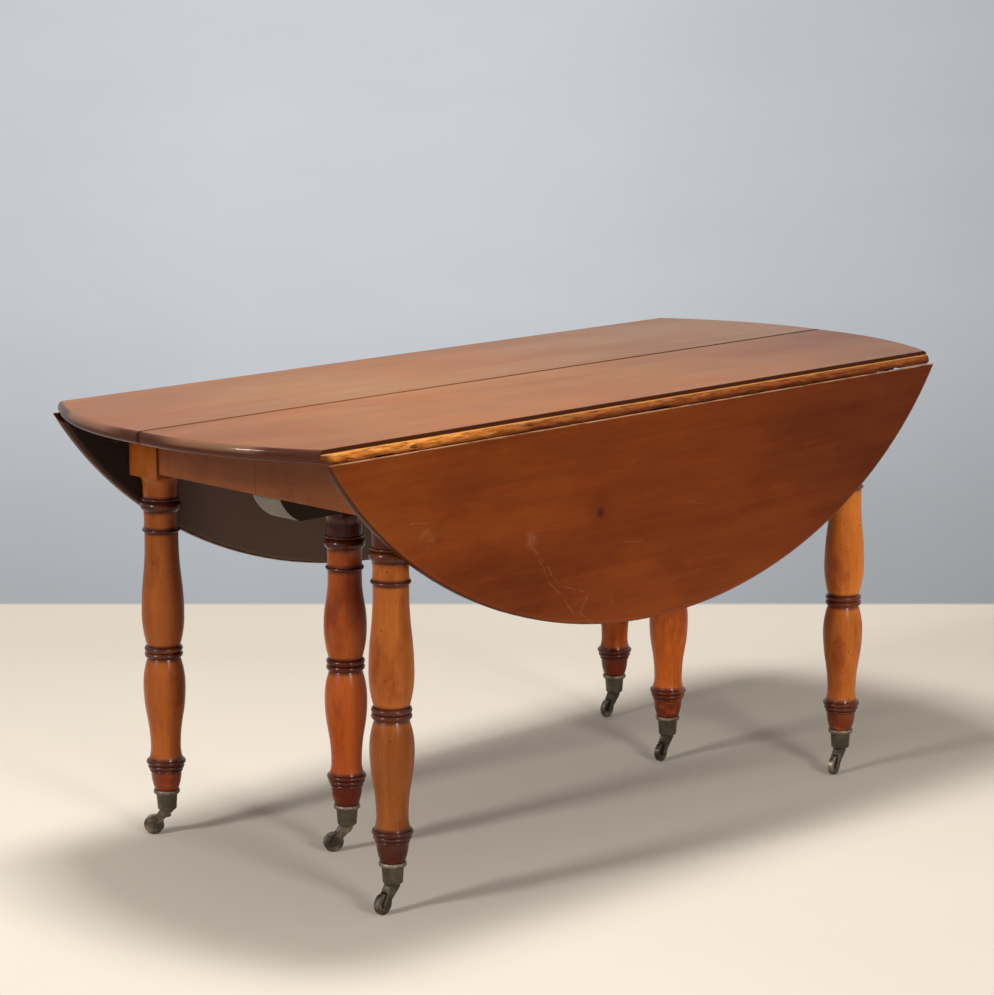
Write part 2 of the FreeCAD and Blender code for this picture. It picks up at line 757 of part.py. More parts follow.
def corner_leg(end, end_sign, side, sign):
    body = leg(f"leg_{end}_{side}", BLOCK_BOTTOM, UNDERSIDE, "0",
               f"{end_sign} * {CORNER_LEG_X}", f"{sign} * {CORNER_LEG_Y}")
    # One mortise for the long apron and one for the end apron.
    depth = "(leg_square / 2 - tenon_depth - glue_gap)"
    half = "(tenon_thick / 2 + glue_gap)"
    long_line = "(leg_square / 2 - long_setback - apron_thick / 2)"
    end_line = "(leg_square / 2 - end_setback - apron_thick / 2)"
    heights = (f"({APRON_BOTTOM} + tenon_inset - glue_gap)",
               f"({UNDERSIDE} - tenon_inset + glue_gap)")
    body_box(body, "Subtractive", ordered(-end_sign, depth, "leg_square"),
             ordered(sign, f"({long_line} - {half})", f"({long_line} + {half})"), heights)
    body_box(body, "Subtractive",
             ordered(end_sign, f"({end_line} - {half})", f"({end_line} + {half})"),
             ordered(-sign, depth, "leg_square"), heights)


def middle_leg(end, end_sign):
    leg(f"leg_{end}_middle", MIDDLE_BLOCK_BOTTOM, BEARER_BOTTOM, "leg_tenon_height",
        f"{end_sign} * {MIDDLE_LEG_X}", "0")


# --------------------------------------------------------------------------------------- castors
def castor_cup(label, x, y):
    body = new_body(label)
    ring_bottom = f"({CUP_TOP} - cup_ring_height)"
    foot = "(cup_bottom + cup_floor)"
    shoulder = "(cup_ring_radius - cup_wall)"
    ring_curve = "((cup_ring_height * cup_ring_height / 4 + cup_wall * cup_wall) / (2 * cup_wall))"
    profile = sketch_on(body, "XZ_Plane")
    draw_outline(profile, [
        ("pear_foot + foot_gap", CUP_TOP),
        (shoulder, CUP_TOP, ring_curve, -1),
        (shoulder, ring_bottom),
        ("cup_top_radius", ring_bottom),
        ("cup_foot_radius", "cup_bottom + cup_wall"),
        ("cup_foot_radius - cup_wall", "cup_bottom"),
        ("stem_pin_radius + stem_gap", "cup_bottom"),
        ("stem_pin_radius + stem_gap", foot),
        ("cup_foot_radius - cup_wall", foot),
        ("cup_top_radius - cup_wall", ring_bottom)])
    revolve(body, profile, "V_Axis")
    place(body, x, y)


def castor_fork(label, x, y, swivel):
    """Forked horn on an upright pin that turns in the cup's floor."""
    body = new_body(label)
    side_view = sketch_on(body, "XZ_Plane")
    draw_outline(side_view, [
        ("-horn_collar_radius + horn_collar", HORN_TOP),
        ("-horn_collar_radius + horn_collar", f"{HORN_TOP} - 2 * horn_collar"),
        ("trail - horn_boss", "wheel_radius", "horn_boss", 1),
        ("trail", "wheel_radius - horn_boss", "horn_boss", 1),
        ("trail + horn_boss", "wheel_radius"),
        ("horn_collar_radius", HORN_TOP)])
    pad(body, side_view, FORK_WIDTH, centred=True)
    body_cylinder(body, "Additive", "horn_collar_radius", "horn_collar", "0", "0",
                  f"{HORN_TOP} - horn_collar")
    body_cylinder(body, "Subtractive", "wheel_radius + tyre_gap", SLOT_WIDTH, "trail",
                  f"-1 * {SLOT_WIDTH} / 2", "wheel_radius", axis="y")
    body_cylinder(body, "Subtractive", "castor_axle_radius + castor_axle_gap", FORK_WIDTH, "trail",
                  f"-1 * {FORK_WIDTH} / 2", "wheel_radius", axis="y")
    rivet_bottom = "(cup_bottom + cup_floor + rivet_gap)"
    body_cylinder(body, "Additive", "stem_pin_radius", f"{rivet_bottom} - {HORN_TOP}", "0", "0",
                  HORN_TOP)
    body_cylinder(body, "Additive", "rivet_radius", "rivet_head", "0", "0", rivet_bottom)
    turn_upright(body, x, y, "0", swivel)


def turn_upright(body, x, y, z, swivel):
    body.Placement.Rotation = FreeCAD.Rotation(FreeCAD.Vector(0, 0, 1), 1)
    place(body, x, y, z)
    bind(body, Placement__Rotation__Angle=swivel)


def at_wheel(body, x, y, swivel):
    turn_upright(body, f"{x} + trail * cos({swivel} * 1 deg)", f"{y} + trail * sin({swivel} * 1 deg)",
                 "wheel_radius", swivel)


def castor_axle(label, x, y, swivel):
    """Riveted pin through both cheeks."""
    body = new_body(label)
    half = f"({FORK_WIDTH} / 2)"
    tip = f"({FORK_WIDTH} / 2 + axle_head)"
    profile = sketch_on(body, "YZ_Plane")
    draw_outline(profile, [
        (f"-1 * {tip}", "0"),
        (tip, "0"),
        (tip, "axle_head_radius - axle_head / 2"),
        (f"{tip} - axle_head / 2", "axle_head_radius"),
        (half, "axle_head_radius"),
        (half, "castor_axle_radius"),
        (f"-1 * {half}", "castor_axle_radius"),
        (f"-1 * {half}", "axle_head_radius"),
        (f"-1 * {tip} + axle_head / 2", "axle_head_radius"),
        (f"-1 * {tip}", "axle_head_radius - axle_head / 2")])
    revolve(body, profile, "H_Axis")
    at_wheel(body, x, y, swivel)


def castor_wheel(label, x, y, swivel):
    body = new_body(label)
    half = "(wheel_width / 2)"
    profile = sketch_on(body, "YZ_Plane")
    draw_outline(profile, [
        (f"-1 * {half}", "castor_axle_radius + castor_axle_gap"),
        (half, "castor_axle_radius + castor_axle_gap"),
        (half, "wheel_radius - wheel_round", "wheel_round", 1),
        (f"{half} - wheel_round", "wheel_radius"),
        (f"-1 * {half} + wheel_round", "wheel_radius", "wheel_round", 1),
        (f"-1 * {half}", "wheel_radius - wheel_round")])
    revolve(body, profile, "H_Axis")
    at_wheel(body, x, y, swivel)


def castor(place_name, x, y):
    swivel = f"swivel_{place_name}"
    castor_cup(f"castor_cup_{place_name}", x, y)
    castor_fork(f"castor_fork_{place_name}", x, y, swivel)
    castor_axle(f"castor_axle_{place_name}", x, y, swivel)
    castor_wheel(f"castor_wheel_{place_name}", x, y, swivel)


# -------------------------------------------------------------------------------- frame of a half
def long_apron(side, sign):
    """Rail between the two corner legs of a side, notched for the leaf supports."""
    body = new_body(f"long_apron_{side}")
    end = f"({CORNER_LEG_X} - leg_square / 2)"
    centre = f"({LONG_FACE} - apron_thick / 2)"
    body_box(body, "Additive", (f"(-1 * {end})", end), ordered(sign, LONG_BACK, LONG_FACE),
             (APRON_BOTTOM, UNDERSIDE))
    body_box(body, "Additive", (f"(-1 * {end} - tenon_depth)", f"({end} + tenon_depth)"),
             ordered(sign, f"({centre} - tenon_thick / 2)", f"({centre} + tenon_thick / 2)"),
             (f"({APRON_BOTTOM} + tenon_inset)", f"({UNDERSIDE} - tenon_inset)"))
    notch = "(loper_width / 2 + loper_gap)"
    for x in ("(-loper_x)", "loper_x"):
        body_box(body, "Subtractive", (f"({x} - {notch})", f"({x} + {notch})"),
                 ordered(sign, f"({LONG_BACK} - apron_thick)", f"({LONG_FACE} + apron_thick)"),
                 (f"({UNDERSIDE} - loper_gap - loper_height)", f"({UNDERSIDE} + board)"))


def end_apron(end, end_sign, side, sign):
    """Short rail from a corner leg to the seam."""
    body = new_body(f"end_apron_{end}_{side}")
    leg_face = f"({CORNER_LEG_Y} - leg_square / 2)"
    centre = f"({END_FACE} - apron_thick / 2)"
    body_box(body, "Additive", ordered(end_sign, END_BACK, END_FACE),
             ordered(sign, "(apron_seam / 2)", leg_face), (APRON_BOTTOM, UNDERSIDE))
    body_box(body, "Additive",
             ordered(end_sign, f"({centre} - tenon_thick / 2)", f"({centre} + tenon_thick / 2)"),
             ordered(sign, f"({leg_face} - tenon_thick)", f"({leg_face} + tenon_depth)"),
             (f"({APRON_BOTTOM} + tenon_inset)", f"({UNDERSIDE} - tenon_inset)"))


def lopers(side, sign):
    bars = []
    for number, x in enumerate(("(-loper_x)", "loper_x"), start=1):
        bars.append(part_box(f"loper_{side}_{number}",
                             (f"({x} - loper_width / 2)", f"({x} + loper_width / 2)"),
                             ordered(sign, "loper_inset", f"({LONG_FACE} - loper_gap)"),
                             (f"({UNDERSIDE} - loper_gap - loper_height)",
                              f"({UNDERSIDE} - loper_gap)")))
    group(f"lopers_{side}", bars)


def glue_blocks(side, sign):
    """Blocks that tie the aprons to the top; the long ones fill the run from leg to leaf support."""
    blocks = []
    level = (f"({UNDERSIDE} - block_side)", UNDERSIDE)
    along_x = ("(loper_x + loper_width / 2 + block_clear)", f"({CORNER_LEG_X} - {BLOCK_REACH})")
    along_y = (f"({CORNER_LEG_Y} - {BLOCK_REACH} - block_length)",
               f"({CORNER_LEG_Y} - {BLOCK_REACH})")
    for end, end_sign in ENDS.items():
        blocks.append(part_box(f"long_block_{end}_{side}", ordered(end_sign, *along_x),
                               ordered(sign, f"({LONG_BACK} - block_side)", LONG_BACK), level))
        blocks.append(part_box(f"end_block_{end}_{side}",
                               ordered(end_sign, f"({END_BACK} - block_side)", END_BACK),
                               ordered(sign, *along_y), level))
    group(f"glue_blocks_{side}", blocks)


# ---------------------------------------------------------------------- bearer and extension slides
def centre_bearer():
    """Beam on the two middle legs that carries the grooved centre runners."""
    body = new_body("centre_bearer")
    tip = f"({END_BACK} - bearer_gap)"
    side_view = sketch_on(body, "XZ_Plane")
    draw_outline(side_view, [
        (f"-1 * {tip} + nose_length", BEARER_BOTTOM),
        (f"{tip} - nose_length", BEARER_BOTTOM, "nose_radius", 1),
        (tip, f"{BEARER_BOTTOM} + nose_height"),
        (tip, BEARER_TOP),
        (f"-1 * {tip}", BEARER_TOP),
        (f"-1 * {tip}", f"{BEARER_BOTTOM} + nose_height", "nose_radius", 1)])
    pad(body, side_view, "bearer_width", centred=True)
    for x in (f"(-1 * {MIDDLE_LEG_X})", MIDDLE_LEG_X):
        body_cylinder(body, "Subtractive", "leg_tenon_radius + glue_gap",
                      "leg_tenon_height + glue_gap", x, "0", BEARER_BOTTOM)


def tongue_levels(gap):
    middle = f"({RUNNER_TOP} - runner_height / 2)"
    return (f"({middle} - tongue_height / 2 - {gap})", f"({middle} + tongue_height / 2 + {gap})")


def centre_runners():
    """Two fixed runners, grooved along both sides."""
    half = "(centre_runner_width / 2)"
    deep = "(tongue_depth + slide_gap)"
    run = ("(-centre_runner_length / 2)", "(centre_runner_length / 2)")
    over = ("(-centre_runner_length)", "centre_runner_length")
    runners = []
    for number, x in enumerate(("(-runner_x)", "runner_x"), start=1):
        bar = part_box(f"centre_bar_{number}", (f"({x} - {half})", f"({x} + {half})"), run,
                       (BEARER_TOP, RUNNER_TOP))
        low_side = (f"({x} - centre_runner_width)", f"({x} - {half} + {deep})")
        high_side = (f"({x} + {half} - {deep})", f"({x} + centre_runner_width)")
        grooves = [part_box(f"groove_{number}_low", low_side, over, tongue_levels("slide_gap")),
                   part_box(f"groove_{number}_high", high_side, over, tongue_levels("slide_gap"))]
        runners.append(cut(f"centre_runner_{number}", bar, grooves))
    group("centre_runners", runners)


def side_runners(side, sign):
    """Tongued runners of one half: outside the centre runners at the front, inside at the back."""
    near = "(centre_runner_width / 2 + slide_gap)"
    run = ordered(sign, "(-side_runner_reach)", LONG_BACK)
    runners = []
    for number, end_sign in enumerate(ENDS.values(), start=1):
        outward = -sign
        body_span = (f"(runner_x + {outward} * {near})",
                     f"(runner_x + {outward} * ({near} + side_runner_width))")
        tongue_span = (f"(runner_x + {outward} * ({near} - tongue_depth))",
                       f"(runner_x + {outward} * ({near} + tongue_depth))")
        if outward < 0:
            body_span = body_span[::-1]
            tongue_span = tongue_span[::-1]
        name = f"side_runner_{side}_{number}"
        bar = part_box(name + "_bar", ordered(end_sign, *body_span), run,
                       (f"({BEARER_TOP} + runner_gap)", RUNNER_TOP))
        tongue = part_box(name + "_tongue", ordered(end_sign, *tongue_span), run, tongue_levels("0"))
        runners.append(fused(name, [bar, tongue]))
    group(f"runners_{side}", runners)


# --------------------------------------------------------------------------------------- assembly
for side, sign in SIDES.items():
    top_board(side, sign)
    leaf(side, sign)
    leaf_hinges(side, sign)
    long_apron(side, sign)
    lopers(side, sign)
    glue_blocks(side, sign)
    side_runners(side, sign)
    for end, end_sign in ENDS.items():
        end_apron(end, end_sign, side, sign)
        corner_leg(end, end_sign, side, sign)
        castor(f"{end}_{side}", f"{end_sign} * {CORNER_LEG_X}", f"{sign} * {CORNER_LEG_Y}")
for end, end_sign in ENDS.items():
    middle_leg(end, end_sign)
    castor(f"{end}_middle", f"{end_sign} * {MIDDLE_LEG_X}", "0")
centre_bearer()
centre_runners()
seam_dowels()

doc.recompute()

# ------------------------------------------------------------------------------- test and export
for thing in doc.Objects:
    if "Invalid" in thing.State or "Error" in thing.State:
        raise RuntimeError("%s failed: %s" % (thing.Name, thing.State))
os.makedirs("parts", exist_ok=True)
for piece in nodes:
    if piece.Shape.isNull() or not piece.Shape.isValid():
        raise RuntimeError("%s has no valid shape" % piece.Label)
for piece in nodes:
    piece.Shape.exportStep("parts/%s.step" % piece.Label)
print("%d nodes written" % len(nodes))
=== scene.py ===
"""Looks of the drop-leaf extension table: camera, studio and procedural finishes for every piece."""

import math

import bpy
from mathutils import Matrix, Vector


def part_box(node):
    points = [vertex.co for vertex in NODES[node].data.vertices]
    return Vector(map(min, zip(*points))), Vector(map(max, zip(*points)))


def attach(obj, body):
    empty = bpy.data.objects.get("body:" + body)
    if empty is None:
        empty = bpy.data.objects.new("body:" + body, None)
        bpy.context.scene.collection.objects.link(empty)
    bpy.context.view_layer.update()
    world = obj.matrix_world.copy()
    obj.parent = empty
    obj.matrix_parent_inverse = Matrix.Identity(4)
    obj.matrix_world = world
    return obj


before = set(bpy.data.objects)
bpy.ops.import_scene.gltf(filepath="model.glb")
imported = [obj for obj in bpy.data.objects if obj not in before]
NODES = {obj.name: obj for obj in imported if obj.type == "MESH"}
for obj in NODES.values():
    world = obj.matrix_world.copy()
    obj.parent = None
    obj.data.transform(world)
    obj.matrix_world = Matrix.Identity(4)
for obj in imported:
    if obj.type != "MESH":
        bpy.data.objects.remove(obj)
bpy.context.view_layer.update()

# ------------------------------------------------------------------ places taken from the CAD model
LEG_PLACES = ("left_back", "left_middle", "left_front", "right_back", "right_middle", "right_front")
ENDS = ("left", "right")
SIDES = {"front": -1, "back": 1}
TOP_LOW, TOP_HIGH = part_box("top_board_front")
LEAF_LOW, LEAF_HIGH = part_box("leaf_front")
TOP_Z = TOP_HIGH.z
UNDERSIDE = TOP_LOW.z
HALF_LENGTH = TOP_HIGH.x
JOINT_Y = abs(LEAF_HIGH.y)          # hinge line, and the hanging leaf's inner face
LEAF_FACE_Y = abs(LEAF_LOW.y)       # outer face of the hanging leaf
NOSE_Z = LEAF_HIGH.z                # upper edge of the hanging leaf
HINGE_DROP = 0.0004                 # the rule joint turns about a line this far under the top boards
OVOLO_Z = UNDERSIDE + abs(TOP_LOW.y) - JOINT_Y - HINGE_DROP   # top of the ovolo, foot of the quirk


# --------------------------------------------------------------------------------- node-graph helper
def tint(colour, factor):
    """A colour times a factor, with the alpha that a socket wants."""
    return tuple(min(channel * factor, 1.0) for channel in colour[:3]) + (1.0,)


def grey(level):
    return (level, level, level, 1.0)


class Graph:
    """A node tree: a material's, around one Principled shader, or the world's."""

    def __init__(self, name):
        self.material = bpy.data.materials.new(name)
        self.material.use_nodes = True
        self.tree = self.material.node_tree
        self.shader = self.tree.nodes["Principled BSDF"]

    @classmethod
    def around(cls, tree):
        graph = cls.__new__(cls)
        graph.tree = tree
        return graph

    def node(self, kind, **settings):
        made = self.tree.nodes.new("ShaderNode" + kind)
        for name, value in settings.items():
            setattr(made, name, value)
        return made

    def link(self, source, target):
        self.tree.links.new(source, target)

    def feed(self, socket, value):
        """Link a socket's value, or set a plain one."""
        if isinstance(value, bpy.types.NodeSocket):
            self.link(value, socket)
        else:
            socket.default_value = value

    def object_coords(self):
        return self.node("TexCoord").outputs["Object"]

    def split(self, coords):
        made = self.node("SeparateXYZ")
        self.link(coords, made.inputs["Vector"])
        return made.outputs["X"], made.outputs["Y"], made.outputs["Z"]

    def mapped(self, coords, scale=(1, 1, 1), shift=(0, 0, 0), turn=(0, 0, 0)):
        made = self.node("Mapping")
        self.link(coords, made.inputs["Vector"])
        made.inputs["Scale"].default_value = scale
        made.inputs["Location"].default_value = shift
        made.inputs["Rotation"].default_value = [math.radians(angle) for angle in turn]
        return made.outputs["Vector"]

    def warped(self, coords, field, reach):
        """Coordinates pushed about by a colour field, by up to reach along each axis."""
        made = self.node("VectorMath", operation="MULTIPLY_ADD")
        self.link(field, made.inputs[0])
        made.inputs[1].default_value = (reach, reach, reach)
        self.link(coords, made.inputs[2])
        return made.outputs["Vector"]

    def noise(self, coords, scale, detail=3.0, roughness=0.5, output="Fac"):
        made = self.node("TexNoise")
        self.link(coords, made.inputs["Vector"])
        made.inputs["Scale"].default_value = scale
        made.inputs["Detail"].default_value = detail
        made.inputs["Roughness"].default_value = roughness
        return made.outputs[output]

    def stretched_noise(self, coords, scales, shift=(0, 0, 0), detail=3.0, roughness=0.5, output="Fac"):
        """Noise with its own scale along each axis."""
        return self.noise(self.mapped(coords, scales, shift), 1.0, detail, roughness, output)

    def ramp(self, factor, stops, interpolation="LINEAR"):
        made = self.node("ValToRGB")
        ramp = made.color_ramp
        ramp.interpolation = interpolation
        while len(ramp.elements) < len(stops):
            ramp.elements.new(1.0)
        for element, (position, colour) in zip(ramp.elements, stops):
            element.position = position
            element.color = colour
        self.feed(made.inputs["Fac"], factor)
        return made.outputs["Color"]

    def level(self, value, low, high):
        """0 below low and 1 above high, smooth between them; falls where high is below low."""
        made = self.node("MapRange", interpolation_type="SMOOTHSTEP")
        rising = high > low
        self.feed(made.inputs["Value"], value)
        made.inputs["From Min"].default_value = low if rising else high
        made.inputs["From Max"].default_value = high if rising else low
        made.inputs["To Min"].default_value = 0.0 if rising else 1.0
        made.inputs["To Max"].default_value = 1.0 if rising else 0.0
        return made.outputs["Result"]

    def maths(self, operation, first, second=0.0, third=0.0):
        made = self.node("Math", operation=operation)
        for socket, value in zip(made.inputs, (first, second, third)):
            self.feed(socket, value)
        return made.outputs["Value"]

    def product(self, *values):
        total = values[0]
        for value in values[1:]:
            total = self.maths("MULTIPLY", total, value)
        return total

    def magnitude(self, value):
        return self.maths("ABSOLUTE", value)

    def mix(self, factor, first, second, blend="MIX"):
        made = self.node("Mix", data_type="RGBA", blend_type=blend)
        colour_inputs = [socket for socket in made.inputs if socket.type == "RGBA"]
        self.feed(made.inputs[0], factor)
        self.feed(colour_inputs[0], first)
        self.feed(colour_inputs[1], second)
        return next(socket for socket in made.outputs if socket.type == "RGBA")

    def bump(self, height, strength, distance, normal=None):
        made = self.node("Bump")
        self.feed(made.inputs["Height"], height)
        made.inputs["Strength"].default_value = strength
        made.inputs["Distance"].default_value = distance
        if normal is not None:
            self.link(normal, made.inputs["Normal"])
        return made.outputs["Normal"]

    def openness(self, distance):
        """1 on open faces, towards 0 in corners and crevices."""
        made = self.node("AmbientOcclusion", samples=6)
        made.inputs["Distance"].default_value = distance
        return made.outputs["AO"]


# --------------------------------------------------------------------------------- camera and room
PHOTO_WIDTH = 994
PHOTO_HEIGHT = 995
FOCAL_PIXELS = 3021.0
CAMERA_PLACE = Vector((-3.5399, -3.5141, 1.4998))
CAMERA_YAW = 44.8435                # degrees clockwise from +Y, seen from above
CAMERA_PITCH = -10.990              # degrees, negative where it looks down
SENSOR = 36.0
GROUND_HALF = 300.0                 # half side of the whole ground
FLOOR_HALF = 1.50                   # half side of the near floor, square to the camera
FLOOR_LIT_RIM = 0.50                    # width of the floor's rim, painted brighter where the lamps' light falls off
FLOOR_EDGE = (-0.01, 0.03)          # offsets from its side, between which it fades into the ground
LOOK_DISTANCE = 4.99                # from the viewpoint's foot to the middle of the table
FLOOR_COLOUR = (0.815, 0.745, 0.655, 1.0)
DISTANCE_COLOUR = (0.618, 0.645, 0.676, 1.0)
WORLD_COLOUR = (1.0, 0.94, 0.87, 1.0)
WORLD_STRENGTH = 0.30
TABLE_MIDDLE = (0, 0, 0.4)          # where the two windows shine
# Painted shade, falling off like light: level of the far ground's colour against nearness (1 / distance)
# and against the place across the view, about 0.1 at the photo's left edge and 0.9 at its right one.
PAINTED_SHADE_BY_NEARNESS = ((0.050, 1.0), (0.085, 0.965), (0.108, 0.875), (0.131, 0.765), (0.153, 0.690))
PAINTED_SHADE_ACROSS = ((0.10, 0.94), (0.28, 1.0), (0.46, 0.99), (0.59, 0.947), (0.71, 0.86), (0.84, 0.795),
                 (0.90, 0.75))
ACROSS_SPREAD = 2.5                 # how fast that place grows with the bearing


def make_camera():
    data = bpy.data.cameras.new("camera")
    data.sensor_width = SENSOR
    data.sensor_fit = "AUTO"
    data.lens = FOCAL_PIXELS / max(PHOTO_WIDTH, PHOTO_HEIGHT) * SENSOR
    camera = bpy.data.objects.new("camera", data)
    camera.location = CAMERA_PLACE
    camera.rotation_euler = (math.radians(90 + CAMERA_PITCH), 0, -math.radians(CAMERA_YAW))
    bpy.context.scene.collection.objects.link(camera)
    bpy.context.scene.camera = camera


def backdrop_seen(graph):
    """1 for the rays that should see the plain backdrop: the camera's, and those of gloss and glass."""
    path = graph.node("LightPath")
    mirrored = graph.maths("MAXIMUM", path.outputs["Is Glossy Ray"], path.outputs["Is Transmission Ray"])
    return graph.maths("MAXIMUM", path.outputs["Is Camera Ray"], mirrored)


def near_floor_colour(graph, coords, out):
    """Pale floor with faint clouds, its rim painted a little brighter where the lamps' light falls off.
    """
    cloud = graph.noise(coords, 1.3, detail=4.0)
    clouded = graph.ramp(cloud, [(0.3, tint(FLOOR_COLOUR, 0.975)), (0.7, tint(FLOOR_COLOUR, 1.015))])
    # Painted light: the rim is brightened where the lamps' light falls off.
    central = graph.level(out, FLOOR_HALF, FLOOR_HALF - FLOOR_LIT_RIM)
    return graph.mix(central, tint(FLOOR_COLOUR, 1.08), clouded)


def far_ground_colour(graph, across, away):
    """Blue-grey ground with painted shade, darker near the floor and towards the right; faint level
    haze.
    """
    nearness = graph.maths("DIVIDE", 1.0, graph.maths("ADD", graph.magnitude(away), LOOK_DISTANCE))
    bearing = graph.product(across, nearness)
    # Painted shade: the ground's colour dims with nearness and across the view, as the light falls off.
    fade = graph.ramp(nearness, [(place, tint(DISTANCE_COLOUR, level))
                                 for place, level in PAINTED_SHADE_BY_NEARNESS])
    aside = graph.maths("MULTIPLY_ADD", bearing, ACROSS_SPREAD, 0.5)
    slant = graph.ramp(aside, [(place, grey(level)) for place, level in PAINTED_SHADE_ACROSS])
    colour = graph.mix(1.0, fade, slant, "MULTIPLY")
    seen_at = graph.node("CombineXYZ")
    graph.link(bearing, seen_at.inputs["X"])
    graph.link(nearness, seen_at.inputs["Y"])
    haze = graph.stretched_noise(seen_at.outputs["Vector"], (14, 55, 1), detail=3.0, roughness=0.6)
    return graph.mix(1.0, colour, graph.ramp(haze, [(0.35, grey(0.975)), (0.65, grey(1.0))]), "MULTIPLY")


def floor_material():
    """The near floor and the ground beyond it, in one material."""
    graph = Graph("floor_paint")
    coords = graph.object_coords()
    across, away, _ = graph.split(graph.mapped(coords, turn=(0, 0, CAMERA_YAW)))
    out = graph.maths("MAXIMUM", graph.magnitude(across), graph.magnitude(away))
    far = graph.level(out, FLOOR_HALF + FLOOR_EDGE[0], FLOOR_HALF + FLOOR_EDGE[1])
    far_colour = far_ground_colour(graph, across, away)
    colour = graph.mix(far, near_floor_colour(graph, coords, out), far_colour)
    graph.link(colour, graph.shader.inputs["Base Color"])
    graph.shader.inputs["Roughness"].default_value = 0.9
    graph.shader.inputs["Specular IOR Level"].default_value = 0.1
    # Beyond the near floor the ground is seen at its plain colour, whatever light reaches it.
    glow = graph.node("Emission")
    graph.link(far_colour, glow.inputs["Color"])
    blend = graph.node("MixShader")
    graph.link(graph.product(far, backdrop_seen(graph)), blend.inputs[0])
    graph.link(graph.shader.outputs["BSDF"], blend.inputs[1])
    graph.link(glow.outputs["Emission"], blend.inputs[2])
    graph.link(blend.outputs["Shader"], graph.tree.nodes["Material Output"].inputs["Surface"])
    return graph.material


def make_floor():
    """Pale floor that turns into a pale blue-grey ground some way out, square to the camera."""
    reach = GROUND_HALF
    corners = [(-reach, -reach, 0), (reach, -reach, 0), (reach, reach, 0), (-reach, reach, 0)]
    mesh = bpy.data.meshes.new("floor")
    mesh.from_pydata(corners, [], [(0, 1, 2, 3)])
    mesh.materials.append(floor_material())
    floor = bpy.data.objects.new("floor", mesh)
    bpy.context.scene.collection.objects.link(floor)


def make_world():
    """Soft light from all round; gloss and the camera see the pale backdrop's colour instead."""
    world = bpy.data.worlds.new("studio")
    bpy.context.scene.world = world
    world.use_nodes = True
    graph = Graph.around(world.node_tree)
    light = graph.tree.nodes["Background"]
    light.inputs["Color"].default_value = WORLD_COLOUR
    light.inputs["Strength"].default_value = WORLD_STRENGTH
    backdrop = graph.node("Background")
    backdrop.inputs["Color"].default_value = DISTANCE_COLOUR
    blend = graph.node("MixShader")
    graph.link(backdrop_seen(graph), blend.inputs[0])
    graph.link(light.outputs["Background"], blend.inputs[1])
    graph.link(backdrop.outputs["Background"], blend.inputs[2])
    graph.link(blend.outputs["Shader"], graph.tree.nodes["World Output"].inputs["Surface"])


def make_softbox(name, place, target, width, height, power, colour):
    data = bpy.data.lights.new(name, "AREA")
    data.shape = "RECTANGLE"
    data.size = width
    data.size_y = height
    data.energy = power
    data.color = colour
    lamp = bpy.data.objects.new(name, data)
    lamp.location = place
    direction = Vector(target) - Vector(place)
    lamp.rotation_euler = direction.to_track_quat("-Z", "Y").to_euler()
    bpy.context.scene.collection.objects.link(lamp)


def make_lamps():
    make_softbox("overhead", (-0.35, 0.2, 3.6), (0, 0, 0.5), width=0.7, height=0.9, power=84,
                 colour=(1.0, 0.985, 0.955))
    window_light = (1.0, 0.98, 0.95)
    make_softbox("front_window", (-1.2, -5.2, 2.2), TABLE_MIDDLE, width=1.2, height=1.3, power=88,
                 colour=window_light)
    make_softbox("left_window", (-5.0, 0.5, 2.5), TABLE_MIDDLE, width=0.7, height=1.1, power=110,
                 colour=window_light)


# -------------------------------------------------------------------------------------- wood texture
# Tone of a growth ring from its start to its end: pale early wood, then a dark late line.
RING_TONES = ((0.0, 0.55), (0.30, 0.85), (0.65, 0.60), (0.88, 0.15), (1.0, 0.55))
WANDER = 0.05                       # how far the tree's axis wanders
GRAIN_DEPTH = 0.0003
RIPPLE_DEPTH = 0.0015


def oriented(along, with_grain, across):
    """Scales per axis: one along the grain, another across it."""
    return tuple(with_grain if axis == along else across for axis in "xyz")


